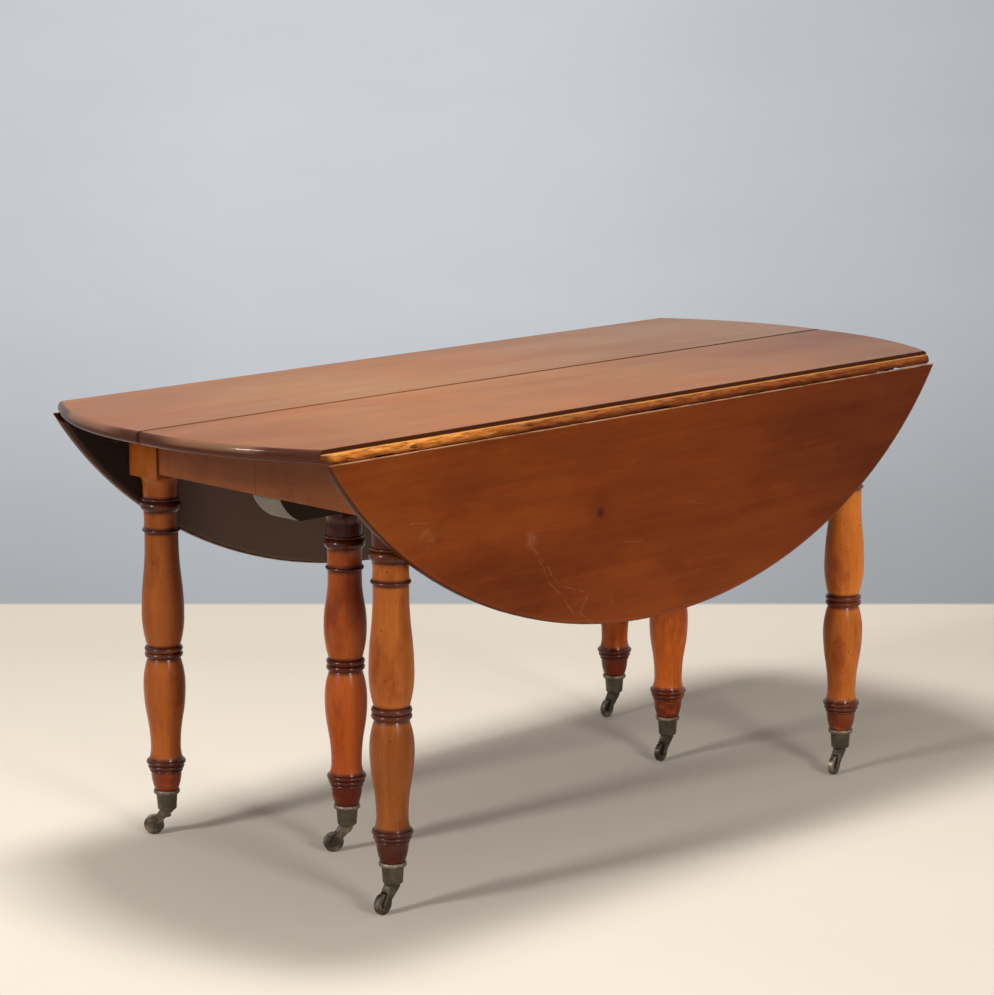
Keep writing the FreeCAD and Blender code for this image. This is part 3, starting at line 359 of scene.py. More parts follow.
class Wood:
    """Solid wood texture: growth rings about a tree axis, streaks, fibres, pores and colour drift."""

    def __init__(self, name, palette, along, heart, lean, spacing, seed, rings=0.10, drift=0.45,
                 streaks=0.28):
        self.graph = graph = Graph(name)
        self.coords = coords = graph.object_coords()
        self.x, self.y, self.z = graph.split(coords)
        shift = (seed * 1.7, seed * 2.3, seed * 3.1)
        slow = graph.stretched_noise(coords, oriented(along, 2.2, 8.0), shift, 6.0, 0.6)
        streak = graph.stretched_noise(coords, oriented(along, 2.0, 62.0), shift, 6.0, 0.62)
        fibre = graph.stretched_noise(coords, oriented(along, 12.0, 420.0), shift, 4.0, 0.6)
        pores = graph.stretched_noise(coords, oriented(along, 110.0, 1700.0), shift, 2.0)
        tone = graph.product(self.growth_rings(along, heart, lean, spacing, shift), rings)
        tone = graph.maths("MULTIPLY_ADD", graph.level(slow, 0.26, 0.74), drift, tone)
        tone = graph.maths("MULTIPLY_ADD", graph.level(streak, 0.28, 0.72), streaks, tone)
        tone = graph.maths("MULTIPLY_ADD", fibre, 1.0 - rings - drift - streaks, tone)
        dark, middle, light = palette
        self.colour = graph.ramp(tone, [(0.20, tint(dark, 1.0)), (0.50, tint(middle, 1.0)),
                                        (0.80, tint(light, 1.0))])
        self.pores = graph.level(pores, 0.60, 0.72)
        self.paint(graph.product(self.pores, 0.25), tint(dark, 0.6))
        self.height = graph.maths("MULTIPLY_ADD", self.pores, -1.0, fibre)
        self.dullness = None

    def growth_rings(self, along, heart, lean, spacing, shift):
        """Tone of the rings, by the distance from a slightly leaning, wandering tree axis."""
        graph = self.graph
        wander = graph.stretched_noise(self.coords, oriented(along, 1.0, 4.0), shift, output="Color")
        moved = graph.warped(self.coords, wander, WANDER)
        leaned = graph.mapped(moved, shift=tuple(-place for place in heart), turn=lean)
        length = graph.node("VectorMath", operation="LENGTH")
        graph.link(graph.mapped(leaned, oriented(along, 0.03, 1.0)), length.inputs[0])
        ring = graph.maths("FRACT", graph.maths("DIVIDE", length.outputs["Value"], spacing))
        return graph.ramp(ring, [(place, grey(level)) for place, level in RING_TONES], "EASE")

    def paint(self, mask, colour):
        """Lay a colour over the wood where the mask is 1."""
        self.colour = self.graph.mix(mask, self.colour, colour)

    def shade(self, mask, factor):
        """Multiply the colour by a grey or coloured factor where the mask is 1."""
        colour = factor if isinstance(factor, tuple) else grey(factor)
        self.colour = self.graph.mix(mask, self.colour, colour, "MULTIPLY")

    def specks(self, scale, low, high, seed):
        """Small round flecks, such as worm holes or chips."""
        field = self.graph.noise(self.graph.mapped(self.coords, shift=(seed, seed, seed)), scale, 1.0)
        return self.graph.level(field, low, high)

    def spot(self, centre, radius, soft):
        """Soft ball-shaped mask about a place."""
        apart = self.graph.node("VectorMath", operation="DISTANCE")
        self.graph.link(self.coords, apart.inputs[0])
        apart.inputs[1].default_value = centre
        return self.graph.level(apart.outputs["Value"], radius, radius * (1.0 - soft))

    def finish(self, roughness, spread, grain_bump, coat, coat_roughness, specular, ripple=0.10):
        """Varnish, a little uneven in gloss and never quite flat."""
        graph = self.graph
        patches = graph.noise(self.coords, 7.0, 5.0, 0.6)
        gloss = graph.maths("MULTIPLY_ADD", patches, spread, roughness - spread / 2)
        gloss = graph.maths("MULTIPLY_ADD", self.pores, 0.12, gloss)
        if self.dullness is not None:
            gloss = graph.maths("ADD", gloss, self.dullness)
        normal = graph.bump(self.height, grain_bump, GRAIN_DEPTH)
        waves = graph.noise(self.coords, 16.0, 2.0)
        normal = graph.bump(waves, ripple, RIPPLE_DEPTH, normal)
        shader = graph.shader
        graph.link(self.colour, shader.inputs["Base Color"])
        graph.link(gloss, shader.inputs["Roughness"])
        graph.link(normal, shader.inputs["Normal"])
        graph.feed(shader.inputs["Specular IOR Level"], specular)
        graph.feed(shader.inputs["Coat Weight"], coat)
        shader.inputs["Coat Roughness"].default_value = coat_roughness
        return graph.material


# ------------------------------------------------------------------------------------ wood colours
TOP_BACK_PALETTE = ((0.263, 0.103, 0.036), (0.312, 0.130, 0.044), (0.356, 0.157, 0.056))
TOP_FRONT_PALETTE = ((0.270, 0.094, 0.025), (0.326, 0.118, 0.029), (0.372, 0.144, 0.034))
LEAF_PALETTE = ((0.185, 0.034, 0.0042), (0.245, 0.048, 0.0060), (0.300, 0.067, 0.0090))
LEG_PALETTE = ((0.26, 0.063, 0.010), (0.37, 0.105, 0.018), (0.46, 0.152, 0.030))
APRON_PALETTE = ((0.205, 0.056, 0.015), (0.265, 0.076, 0.021), (0.325, 0.103, 0.030))
INNER_PALETTE = ((0.075, 0.043, 0.026), (0.125, 0.074, 0.046), (0.18, 0.112, 0.072))
UNDER_COLOUR = (0.034, 0.020, 0.014, 1.0)
LEAF_INNER_COLOUR = (0.205, 0.132, 0.100, 1.0)
EDGE_COLOUR = (0.060, 0.015, 0.006, 1.0)
PAINTED_RIM_HIGHLIGHT = (0.240, 0.115, 0.062, 1.0)
GRIME_AND_SHADE = (0.022, 0.009, 0.005, 1.0)
QUIRK_SHADE = (0.085, 0.024, 0.008, 1.0)
BARE_WOOD = (0.60, 0.33, 0.17, 1.0)
SCUFFED_WOOD = (0.52, 0.27, 0.15, 1.0)
LIT_END_GRAIN = (0.215, 0.185, 0.155, 1.0)
OVOLO_PALE = (0.80, 0.40, 0.110, 1.0)
OVOLO_GOLDS = ((0.26, 0.075, 0.012, 1.0), (0.58, 0.180, 0.023, 1.0), OVOLO_PALE)
OVOLO_BROWNS = ((0.14, 0.036, 0.007, 1.0), (0.27, 0.075, 0.016, 1.0), (0.42, 0.15, 0.034, 1.0))

# ------------------------------------------------------------------------------------------- the top
# Each top board's palette, the painted shade and sheen over its right end, and its seed.
TOPS = {"front": (TOP_FRONT_PALETTE, (0.60, 0.64, 1.0, 1.0), 1.0),
        "back": (TOP_BACK_PALETTE, (0.74, 0.86, 1.3, 1.0), 4.0)}
# Stretches in metres, each from where a mark is absent to where it is full.
RIGHT_END_SHADE_REACH = (-0.20, 0.80)          # painted shade and sheen, along the top towards its right end
LEFT_END_SHADE_REACH = (-0.30, -0.74)         # painted shade, towards its left end
RIM_HIGHLIGHT_HEIGHTS = (TOP_Z - 0.0125, TOP_Z - 0.0070)   # the upper half of the rim, where the highlight is painted
RIM_HIGHLIGHT_START = (0.030, 0.100)          # outward from the seam
RIM_HIGHLIGHT_STOP = (0.240, 0.205)           # the painted highlight is gone again before the shoulder
SEAM_DIRT = (0.0065, 0.0024)        # towards the seam
OVOLO_BROWNING = (-0.52, -0.22)     # along the ovolo
BRUISE_X = -0.57                    # middle of the ovolo's most worn stretch
BRUISE_REACH = (0.055, 0.020)       # towards that middle
OVOLO_TIPS = (HALF_LENGTH * 0.868, HALF_LENGTH * 0.886)   # towards both ends of the ovolo


def cloud_and_shade_top(wood, end_shade_and_sheen, seed):
    """Warmer clouds in the faded polish; painted shade at both ends, greyer painted sheen at the right.
    """
    graph = wood.graph
    cloud = graph.stretched_noise(wood.coords, (2.2, 7.0, 1.0), (seed, seed, 0), 4.0, 0.6)
    wood.shade(graph.level(cloud, 0.42, 0.68), (1.06, 0.92, 0.80, 1.0))
    # Painted shade and sheen towards the right end, and painted shade towards the left.
    wood.shade(graph.level(wood.x, *RIGHT_END_SHADE_REACH), end_shade_and_sheen)
    wood.shade(graph.level(wood.x, *LEFT_END_SHADE_REACH), (0.82, 0.74, 0.80, 1.0))


def paint_rim(wood, outward):
    """Dark flecked rim, its own colour deepened by painted shade, with a painted highlight on its upper
    half; gives the rim's mask.
    """
    graph = wood.graph
    # The rim is painted dark: partly its own darker colour, partly painted shade on its side.
    edge = graph.level(wood.z, TOP_Z - 0.00002, TOP_Z - 0.0005)
    wood.paint(graph.product(edge, 0.94), EDGE_COLOUR)
    flecks = graph.stretched_noise(wood.coords, (14, 60, 160), detail=6.0, roughness=0.7)
    wood.shade(graph.product(edge, graph.level(flecks, 0.52, 0.72), 0.6), 0.45)
    # Painted highlight: the rim's upper half made paler where it catches the lamps.
    rim_highlight = graph.product(edge, graph.level(wood.z, *RIM_HIGHLIGHT_HEIGHTS), graph.level(outward, *RIM_HIGHLIGHT_START),
                            graph.level(outward, *RIM_HIGHLIGHT_STOP))
    wood.paint(graph.product(rim_highlight, 0.80), PAINTED_RIM_HIGHLIGHT)
    return edge


def dirty_and_shaded_joints(wood, outward):
    """Dirt along the seam, and painted shade against the quirk of the rule joint; gives the seam's mask.
    """
    graph = wood.graph
    seam = graph.level(graph.magnitude(wood.y), *SEAM_DIRT)
    dirt = graph.maths("MULTIPLY_ADD", graph.level(wood.x, -0.5, 0.5), 0.30, 0.58)
    wood.shade(graph.product(seam, dirt), (0.13, 0.09, 0.08, 1.0))
    # Painted shade: the quirk's upright step darkened where shade falls in it.
    quirk = graph.product(graph.level(outward, JOINT_Y - 0.0012, JOINT_Y - 0.0001),
                          graph.level(wood.z, TOP_Z - 0.0004, TOP_Z - 0.0026))
    wood.paint(graph.product(quirk, 0.92), QUIRK_SHADE)
    arris = graph.product(graph.level(outward, JOINT_Y - 0.0080, JOINT_Y - 0.0010),
                          graph.level(wood.z, TOP_Z - 0.0010, TOP_Z - 0.0002))
    wood.shade(graph.product(arris, 0.35), (0.55, 0.45, 0.40, 1.0))
    return seam


def ovolo_colour(wood):
    """Bare golden wood, softly mottled, browner towards the right; painted shade under its curve and a
    painted highlight along its upper arris.
    """
    graph = wood.graph
    field = graph.stretched_noise(wood.coords, (30, 220, 220), detail=7.0, roughness=0.72)
    gold = graph.ramp(field, list(zip((0.36, 0.49, 0.65), OVOLO_GOLDS)))
    brown = graph.ramp(field, list(zip((0.38, 0.50, 0.64), OVOLO_BROWNS)))
    brown = graph.mix(graph.level(wood.x, -0.30, 0.30), brown, (0.84, 0.74, 0.66, 1.0), "MULTIPLY")
    gold = graph.mix(graph.level(wood.x, *OVOLO_BROWNING), gold, brown)
    # Chips and old dirt in a few patches, most of them at the left.
    chips = graph.level(graph.stretched_noise(wood.coords, (38, 210, 210), detail=4.0, roughness=0.6),
                        0.56, 0.66)
    patches = graph.level(graph.stretched_noise(wood.coords, (7, 7, 7), (0.4, 0, 0), 2.0), 0.50, 0.62)
    bruised = graph.level(graph.magnitude(graph.maths("ADD", wood.x, -BRUISE_X)), *BRUISE_REACH)
    patches = graph.maths("MAXIMUM", patches, bruised)
    gold = graph.mix(graph.product(chips, patches, 0.9), gold, GRIME_AND_SHADE)
    tips = graph.level(graph.magnitude(wood.x), *OVOLO_TIPS)
    gold = graph.mix(graph.product(tips, 0.75), gold, EDGE_COLOUR)
    # Painted shade under the curve, which turns away from the light.
    low = graph.level(wood.z, OVOLO_Z - 0.0040, UNDERSIDE + 0.0010)
    gold = graph.mix(graph.product(low, 0.85), gold, (0.50, 0.30, 0.22, 1.0), "MULTIPLY")
    # Painted highlight along the upper arris, where it catches the light.
    arris = graph.level(wood.z, OVOLO_Z - 0.0014, OVOLO_Z - 0.0002)
    return graph.mix(graph.product(arris, 0.55), gold, OVOLO_PALE)


def top_material(side, sign):
    """Faded glossy top with a dark rubbed edge and a golden, worn ovolo along its hinge line."""
    palette, end_shade_and_sheen, seed = TOPS[side]
    wood = Wood(f"top_{side}_wood", palette, "x", heart=(0.0, sign * 0.19, TOP_Z - 0.16),
                lean=(0, 0.9, 0.5), spacing=0.0085, seed=seed, rings=0.06, drift=0.52, streaks=0.22)
    graph = wood.graph
    outward = graph.product(wood.y, float(sign))
    cloud_and_shade_top(wood, end_shade_and_sheen, seed)
    edge = paint_rim(wood, outward)
    seam = dirty_and_shaded_joints(wood, outward)
    ovolo = graph.product(graph.level(outward, JOINT_Y, JOINT_Y + 0.0006),
                          graph.level(wood.z, OVOLO_Z + 0.0006, OVOLO_Z))
    wood.paint(ovolo, ovolo_colour(wood))
    under = graph.level(wood.z, UNDERSIDE + 0.0006, UNDERSIDE + 0.0002)
    wood.paint(under, UNDER_COLOUR)
    matte = graph.maths("MAXIMUM", under, graph.product(ovolo, 0.35))
    wood.dullness = graph.product(matte, 0.35)
    rim = graph.product(edge, graph.level(outward, JOINT_Y - 0.0004, JOINT_Y - 0.0030),
                        graph.level(wood.z, UNDERSIDE, UNDERSIDE + 0.0010))
    specular = graph.maths("MULTIPLY_ADD", seam, -0.06, 0.06)
    return wood.finish(roughness=0.33, spread=0.14, grain_bump=0.08, coat=graph.product(rim, 0.26),
                       coat_roughness=0.09, specular=specular, ripple=0.06)


# ---------------------------------------------------------------------------------------- the leaves
LEAF_SEEDS = {"front": 7.0, "back": 9.0}
LEAF_SHADED_END = (-0.15, 0.70)     # painted shade along the leaf, towards its right end, where the light falls off
INNER_SHADED_END = (-0.36, -0.60)     # painted shade along its inner face, towards the left end
# Marks on a leaf's face, at (x, z) in metres.
KNOT_PLACE = (-0.145, 0.572)
SCUFFS = (((-0.300, 0.552), 0.020), ((-0.520, 0.588), 0.026))     # each with its radius
# Scratches, each from and to such a place.
LEAF_SCRATCHES = (((-0.305, 0.556), (-0.235, 0.470)), ((-0.300, 0.548), (-0.262, 0.486)),
                  ((-0.262, 0.486), (-0.205, 0.418)), ((-0.235, 0.470), (-0.168, 0.446)),
                  ((-0.168, 0.446), (-0.190, 0.414)), ((-0.190, 0.414), (-0.150, 0.392)),
                  ((-0.122, 0.452), (-0.112, 0.420)), ((-0.560, 0.612), (-0.505, 0.606)),
                  ((-0.090, 0.520), (-0.045, 0.512)), ((0.060, 0.560), (0.120, 0.552)))
SCRATCH_WIDTH = 0.0016
SCRATCH_BEND = 0.022


def scratch(wood, wobbled, start, end):
    """Thin line on an upright face that fades at both ends, along slightly wobbled coordinates."""
    graph = wood.graph
    run = end[0] - start[0]
    rise = end[1] - start[1]
    length = math.hypot(run, rise)
    x, _, z = wobbled
    from_x = graph.maths("SUBTRACT", x, start[0])
    from_z = graph.maths("SUBTRACT", z, start[1])
    along = graph.maths("ADD", graph.product(from_x, run / length), graph.product(from_z, rise / length))
    aside = graph.maths("SUBTRACT", graph.product(from_z, run / length),
                        graph.product(from_x, rise / length))
    line = graph.level(graph.magnitude(aside), SCRATCH_WIDTH, 0.0)
    fade = length * 0.2
    faded = graph.product(graph.level(along, -fade, fade),
                          graph.level(along, length + fade, length - fade))
    return graph.product(line, faded)


def scratches(wood):
    """All the leaf's scratches, a little bent and broken."""
    graph = wood.graph
    back = -SCRATCH_BEND / 2
    bend = graph.noise(wood.coords, 22.0, 3.0, output="Color")
    bent = graph.warped(graph.mapped(wood.coords, shift=(back, back, back)), bend, SCRATCH_BEND)
    wobbled = graph.split(bent)
    lines = 0.0
    for start, end in LEAF_SCRATCHES:
        lines = graph.maths("MAXIMUM", scratch(wood, wobbled, start, end), lines)
    gaps = graph.level(graph.noise(wood.coords, 70.0, 3.0), 0.34, 0.54)
    return graph.product(lines, gaps)


def rub_nose(wood, outward):
    """The nose of the rule joint, rubbed down to pale wood."""
    graph = wood.graph
    nose = graph.product(graph.level(wood.z, NOSE_Z - 0.0014, NOSE_Z - 0.0005),
                         graph.level(outward, LEAF_FACE_Y - 0.0060, LEAF_FACE_Y - 0.0040))
    rub = graph.stretched_noise(wood.coords, (18, 60, 60), detail=5.0, roughness=0.7)
    wood.paint(graph.product(nose, graph.level(rub, 0.30, 0.56), 0.75), BARE_WOOD)


def figure_leaf(wood, face, seed):
    """Darker clouds, and short pale flecks along the grain."""
    graph = wood.graph
    cloud = graph.stretched_noise(wood.coords, (3.4, 5, 8), (seed, 0, seed), 5.0, 0.62)
    wood.shade(graph.product(graph.level(cloud, 0.48, 0.68), 0.55), (0.66, 0.58, 0.52, 1.0))
    fleck = graph.stretched_noise(wood.coords, (17, 17, 190), (seed, seed, 0), 5.0, 0.6)
    wood.shade(graph.product(graph.level(fleck, 0.58, 0.72), face), (1.18, 1.20, 1.12, 1.0))


def mark_leaf(wood, face, sign):
    """A small knot, and scuffed patches with their scratches; gives the mask of the marks."""
    graph = wood.graph
    knot = (KNOT_PLACE[0], sign * LEAF_FACE_Y, KNOT_PLACE[1])
    wood.shade(graph.product(wood.spot(knot, 0.046, soft=0.95), 0.45), 0.50)
    wood.shade(graph.product(wood.spot(knot, 0.012, soft=0.8), 0.80), 0.36)
    spots = [wood.spot((x, sign * LEAF_FACE_Y, z), radius, soft=0.9) for (x, z), radius in SCUFFS]
    haze = graph.product(graph.maths("MAXIMUM", *spots),
                         graph.level(graph.noise(wood.coords, 60.0, 4.0), 0.35, 0.65))
    marks = graph.maths("MAXIMUM", graph.product(haze, 0.22), graph.product(scratches(wood), 0.21))
    wood.paint(graph.product(marks, face), SCUFFED_WOOD)
    return marks


def leaf_material(side, sign):
    """Rich red-brown leaf: soft streaks, a small knot, rubbed scratches, and a dull inner face."""
    seed = LEAF_SEEDS[side]
    wood = Wood(f"leaf_{side}_wood", LEAF_PALETTE, "x", heart=(0.0, sign * 0.22, 0.56),
                lean=(0, 1.1, 0.6), spacing=0.010, seed=seed, rings=0.05, drift=0.50, streaks=0.20)
    graph = wood.graph
    outward = graph.product(wood.y, float(sign))
    face = graph.level(outward, LEAF_FACE_Y - 0.0045, LEAF_FACE_Y - 0.0008)
    rim = graph.maths("SUBTRACT", 1.0, face)
    # The rim is painted dark: its own stain, and painted shade on an edge that faces down and away.
    wood.shade(graph.product(rim, 0.92), 0.16)
    # Painted shade: darker towards the right end, where the light falls off.
    wood.shade(graph.level(wood.x, *LEAF_SHADED_END), (0.72, 0.68, 0.74, 1.0))
    rub_nose(wood, outward)
    figure_leaf(wood, face, seed)
    inner = graph.level(outward, JOINT_Y + 0.0016, JOINT_Y + 0.0004)
    wood.paint(inner, LEAF_INNER_COLOUR)
    # Painted shade: the inner face darker towards its left end, out of the light.
    wood.shade(graph.product(inner, graph.level(wood.x, *INNER_SHADED_END)), 0.16)
    marks = mark_leaf(wood, face, sign)
    wood.dullness = graph.maths("MULTIPLY_ADD", inner, 0.40, graph.product(marks, 0.3))
    coat = graph.product(graph.maths("SUBTRACT", rim, inner), 0.08)
    return wood.finish(roughness=0.35, spread=0.12, grain_bump=0.12, coat=coat, coat_roughness=0.10,
                       specular=0.10)


# ------------------------------------------------------------------------------------------ the legs
# Heights of the dark turned members, in metres above the floor.
FOOT_BAND = (0.0, 0.1325)
KNEE_BAND = (0.302, 0.324)
RING_BAND = (0.5115, 0.5195)
TORUS_BAND = (0.546, 0.5705)
MIDDLE_DROP = 0.044                 # the middle legs' ring and torus lie lower
BAND_EDGE = 0.004
CALF_START = (0.315, 0.285)         # downward, through the knee
PEAR_START = (0.112, 0.108)         # downward, under the ankle's rings
HEART_OFFSET = 0.045                # from a leg's axis to the heart of its tree
HEART_VARIETY = 0.01                # and how much that differs between legs
SHADED_SIDE_REACH = (0.002, 0.030)      # from a leg's axis towards its side with painted shade
RIGHT_X, RIGHT_Y = 0.71, 0.70       # the photo's right, as shares of +X and of -Y
# Each leg's own colour, as factors on the common palette.
LEG_TINTS = {"left_back": (0.78, 0.66, 0.58), "left_middle": (0.90, 0.60, 0.44),
             "left_front": (1.42, 1.46, 1.30), "right_back": (1.38, 1.00, 0.72),
             "right_middle": (1.80, 1.36, 0.95), "right_front": (1.84, 1.74, 1.30)}
# Each leg's calf (its lower swell), as a factor on the colour of its belly.
CALF_TINTS = {"left_back": 1.26, "left_middle": 1.28, "left_front": 0.64, "right_back": 1.0,
              "right_middle": 1.0, "right_front": 0.84}
# How strongly each leg's painted shade darkens one side: positive on its right in the photo, else on its
# left.
SHADED_SIDES = {"left_back": 0.75, "left_middle": 0.70, "left_front": 0.45, "right_back": 0.30,
                 "right_middle": -0.30, "right_front": -0.60}
DARK_SHOULDERS = ("left_middle", "left_front")
# Each leg's pear-shaped foot, as factors on its colour.
PEAR_TINTS = {"left_back": (0.62, 0.40, 0.34), "left_middle": (0.22, 0.085, 0.10),
              "left_front": (0.20, 0.10, 0.10), "right_back": (0.30, 0.15, 0.14),
              "right_middle": (0.24, 0.11, 0.11), "right_front": (0.28, 0.15, 0.12)}


def leg_bands(graph, z, place):
    """1 on the dark turned members and on the foot, 0 on the swells."""
    drop = MIDDLE_DROP if "middle" in place else 0.0
    upper = [(low - drop, high - drop) for low, high in (RING_BAND, TORUS_BAND)]
    stops = []
    for low, high in (FOOT_BAND, KNEE_BAND, *upper):
        if low > BAND_EDGE:
            stops += [(low - BAND_EDGE, grey(0.0)), (low, grey(1.0))]
        stops += [(high, grey(1.0)), (high + BAND_EDGE, grey(0.0))]
    bands = graph.ramp(z, stops)
    if place in DARK_SHOULDERS:
        torus_top = TORUS_BAND[1] - drop
        shoulder = graph.level(z, torus_top - BAND_EDGE, torus_top + 0.001)
        bands = graph.maths("MAXIMUM", bands, shoulder)
    return bands


def paint_shaded_side(wood, axis, strength):
    """Painted shade darkening one side of a turning."""
    graph = wood.graph
    across = graph.maths("SUBTRACT", graph.product(graph.maths("SUBTRACT", wood.x, axis.x), RIGHT_X),
                         graph.product(graph.maths("SUBTRACT", wood.y, axis.y), RIGHT_Y))
    aside = graph.product(across, math.copysign(1.0, strength))
    reach = graph.level(aside, *SHADED_SIDE_REACH)
    # Painted shade on the side turned away from the main light.
    wood.shade(graph.product(reach, abs(strength)), (0.40, 0.30, 0.27, 1.0))


def leg_material(place, seed):
    """Worn orange-brown turning, dark where polish has gathered round the beads and the tori."""
    low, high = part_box(f"leg_{place}")
    axis = (low + high) / 2
    offset = HEART_OFFSET + HEART_VARIETY * math.sin(seed * 5.0)
    heart = (axis.x + offset * math.cos(seed), axis.y + offset * math.sin(seed), 0.0)
    palette = [tuple(channel * factor for channel, factor in zip(colour, LEG_TINTS[place]))
               for colour in LEG_PALETTE]
    wood = Wood(f"leg_wood_{place}", palette, "z", heart, lean=(1.2, -0.8, 0), spacing=0.0070,
                seed=seed, rings=0.05, drift=0.52, streaks=0.22)
    graph = wood.graph
    stain = graph.stretched_noise(wood.coords, (16, 16, 7), (seed, 0, seed), 4.0, 0.6)
    wood.shade(graph.product(graph.level(stain, 0.46, 0.66), 0.8), (0.52, 0.36, 0.28, 1.0))
    wood.shade(graph.level(wood.z, *CALF_START), CALF_TINTS[place])
    # Painted shade on one side of the leg.
    paint_shaded_side(wood, axis, SHADED_SIDES[place])
    bands = leg_bands(graph, wood.z, place)
    smear = graph.stretched_noise(wood.coords, (30, 30, 60), (seed, seed, seed), 5.0, 0.65)
    dark = graph.product(bands, graph.level(smear, 0.16, 0.48))
    pear = graph.level(wood.z, *PEAR_START)
    shade = graph.mix(pear, (0.17, 0.095, 0.095, 1.0), PEAR_TINTS[place] + (1.0,))
    wood.colour = graph.mix(graph.product(dark, 0.94), wood.colour, shade, "MULTIPLY")
    # Painted shade and grime: darker in the crevices between the turned members.
    shade_and_grime = graph.level(graph.openness(0.008), 0.80, 0.35)
    wood.paint(graph.product(shade_and_grime, 0.85), GRIME_AND_SHADE)
    wood.shade(graph.product(wood.specks(150.0, 0.73, 0.77, seed), 0.7), 0.25)
    coat = graph.maths("MULTIPLY_ADD", bands, 0.26, 0.05)
    return wood.finish(roughness=0.30, spread=0.12, grain_bump=0.10, coat=coat, coat_roughness=0.08,
                       specular=0.15)


# ------------------------------------------------------------------------ aprons and inner timbers
BEARER_NOSE = 0.044                 # inward from the bearer's ends, where the paler end grain starts
BEARER_ROUND = 0.038                # and where it is full


def frame_material(name, palette, along, seed, heart=(0.0, 0.0, 0.0), roughness=0.34, coat=0.05,
                   specular=0.16):
    """Plain blotched timber, darkened in its corners by painted shade and grime."""
    wood = Wood(name, palette, along, heart, lean=(0.6, 0.6, 0.6), spacing=0.007, seed=seed,
                rings=0.06, drift=0.54, streaks=0.22)
    graph = wood.graph
    # Painted shade and grime: darker in the corners, where shade falls.
    shade_and_grime = graph.level(graph.openness(0.03), 0.75, 0.25)
    wood.paint(graph.product(shade_and_grime, 0.7), GRIME_AND_SHADE)
    blotch = graph.stretched_noise(wood.coords, (9, 13, 4), (seed, 0, 0), 4.0, 0.6)
    wood.shade(graph.product(graph.level(blotch, 0.46, 0.66), 0.5), (0.62, 0.52, 0.50, 1.0))
    return wood.finish(roughness, spread=0.12, grain_bump=0.2, coat=coat, coat_roughness=0.2,
                       specular=specular)


def bearer_material():
    """Dark beam, its sides in painted shade, with paler end grain, partly painted light, on its rounded
    noses.
    """
    wood = Wood("bearer_wood", INNER_PALETTE, "x", heart=(0.0, 0.02, 0.62), lean=(0, 0.5, 0.4),
                spacing=0.006, seed=3.0)
    graph = wood.graph
    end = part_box("centre_bearer")[1]
    side = graph.level(graph.magnitude(wood.y), end.y - 0.0006, end.y - 0.0002)
    nose = graph.product(graph.maths("SUBTRACT", 1.0, side),
                         graph.level(graph.magnitude(wood.x), end.x - BEARER_NOSE, end.x - BEARER_ROUND))
    # Paler end grain on the noses, lightened also as painted light where they catch it.
    wood.paint(graph.product(nose, 0.9), LIT_END_GRAIN)
    # Painted shade: the bearer's sides darkened, as they lie in shade beneath the top.
    wood.shade(side, 0.30)
    return wood.finish(roughness=0.7, spread=0.1, grain_bump=0.4, coat=0.0, coat_roughness=0.3,
                       specular=0.2)


# ------------------------------------------------------------------------------------------- metals
# Each metal's dark patina, the colour where it is rubbed, and its roughness.
METALS = {"castor_bronze": ((0.064, 0.050, 0.034, 1), (0.23, 0.185, 0.125, 1), 0.28),
          "cup_bronze": ((0.085, 0.070, 0.046, 1), (0.135, 0.112, 0.074, 1), 0.34),
          "wheel_bronze": ((0.066, 0.054, 0.040, 1), (0.30, 0.245, 0.185, 1), 0.26),
          "axle_steel": ((0.05, 0.046, 0.042, 1), (0.22, 0.20, 0.18, 1), 0.26),
          "hinge_iron": ((0.03, 0.026, 0.023, 1), (0.12, 0.11, 0.10, 1), 0.40)}
RUBBED_BRONZE = (0.28, 0.20, 0.15, 1)
CUP_RIM = 0.007                     # height of the rubbed rim of a castor's cup
PATINA_SCALE = 40.0
PIT_DEPTH = 0.0002
METALLIC = 0.8


def metal_material(name, band=None):
    """Old metal: dark patina, brighter where it is rubbed, faintly pitted; band is a rubbed stretch."""
    dark, bright, roughness = METALS[name]
    graph = Graph(name)
    coords = graph.object_coords()
    patina = graph.noise(coords, PATINA_SCALE, 5.0, 0.6)
    open_face = graph.level(graph.openness(0.006), 0.55, 0.95)
    colour = graph.mix(graph.product(graph.level(patina, 0.40, 0.68), open_face), dark, bright)
    if band is not None:
        low, high = band
        z = graph.split(coords)[2]
        ring = graph.product(graph.level(z, low - 0.0004, low + 0.0006),
                             graph.level(z, high + 0.0004, high - 0.0006))
        worn = graph.level(graph.noise(coords, 120.0, 4.0), 0.30, 0.60)
        colour = graph.mix(graph.product(ring, worn, 0.9), colour, RUBBED_BRONZE)
    graph.link(colour, graph.shader.inputs["Base Color"])
    graph.link(graph.maths("MULTIPLY_ADD", patina, 0.25, roughness), graph.shader.inputs["Roughness"])
    pits = graph.noise(coords, 900.0, 3.0)
    graph.link(graph.bump(pits, 0.15, PIT_DEPTH), graph.shader.inputs["Normal"])
    graph.shader.inputs["Metallic"].default_value = METALLIC
    return graph.material


# -------------------------------------------------------------------------- ends of the swivel pins
SWIVEL_GAP = 0.0004                 # between a castor's cup and its horn
KNUCKLE_RADIUS = 0.0062
KNUCKLE_ROUNDING = 0.0031           # height of its rounded end
KNUCKLE_FOOT = 0.0300               # height of its lowest point above the floor
KNUCKLE_RINGS = 6
KNUCKLE_SIDES = 40


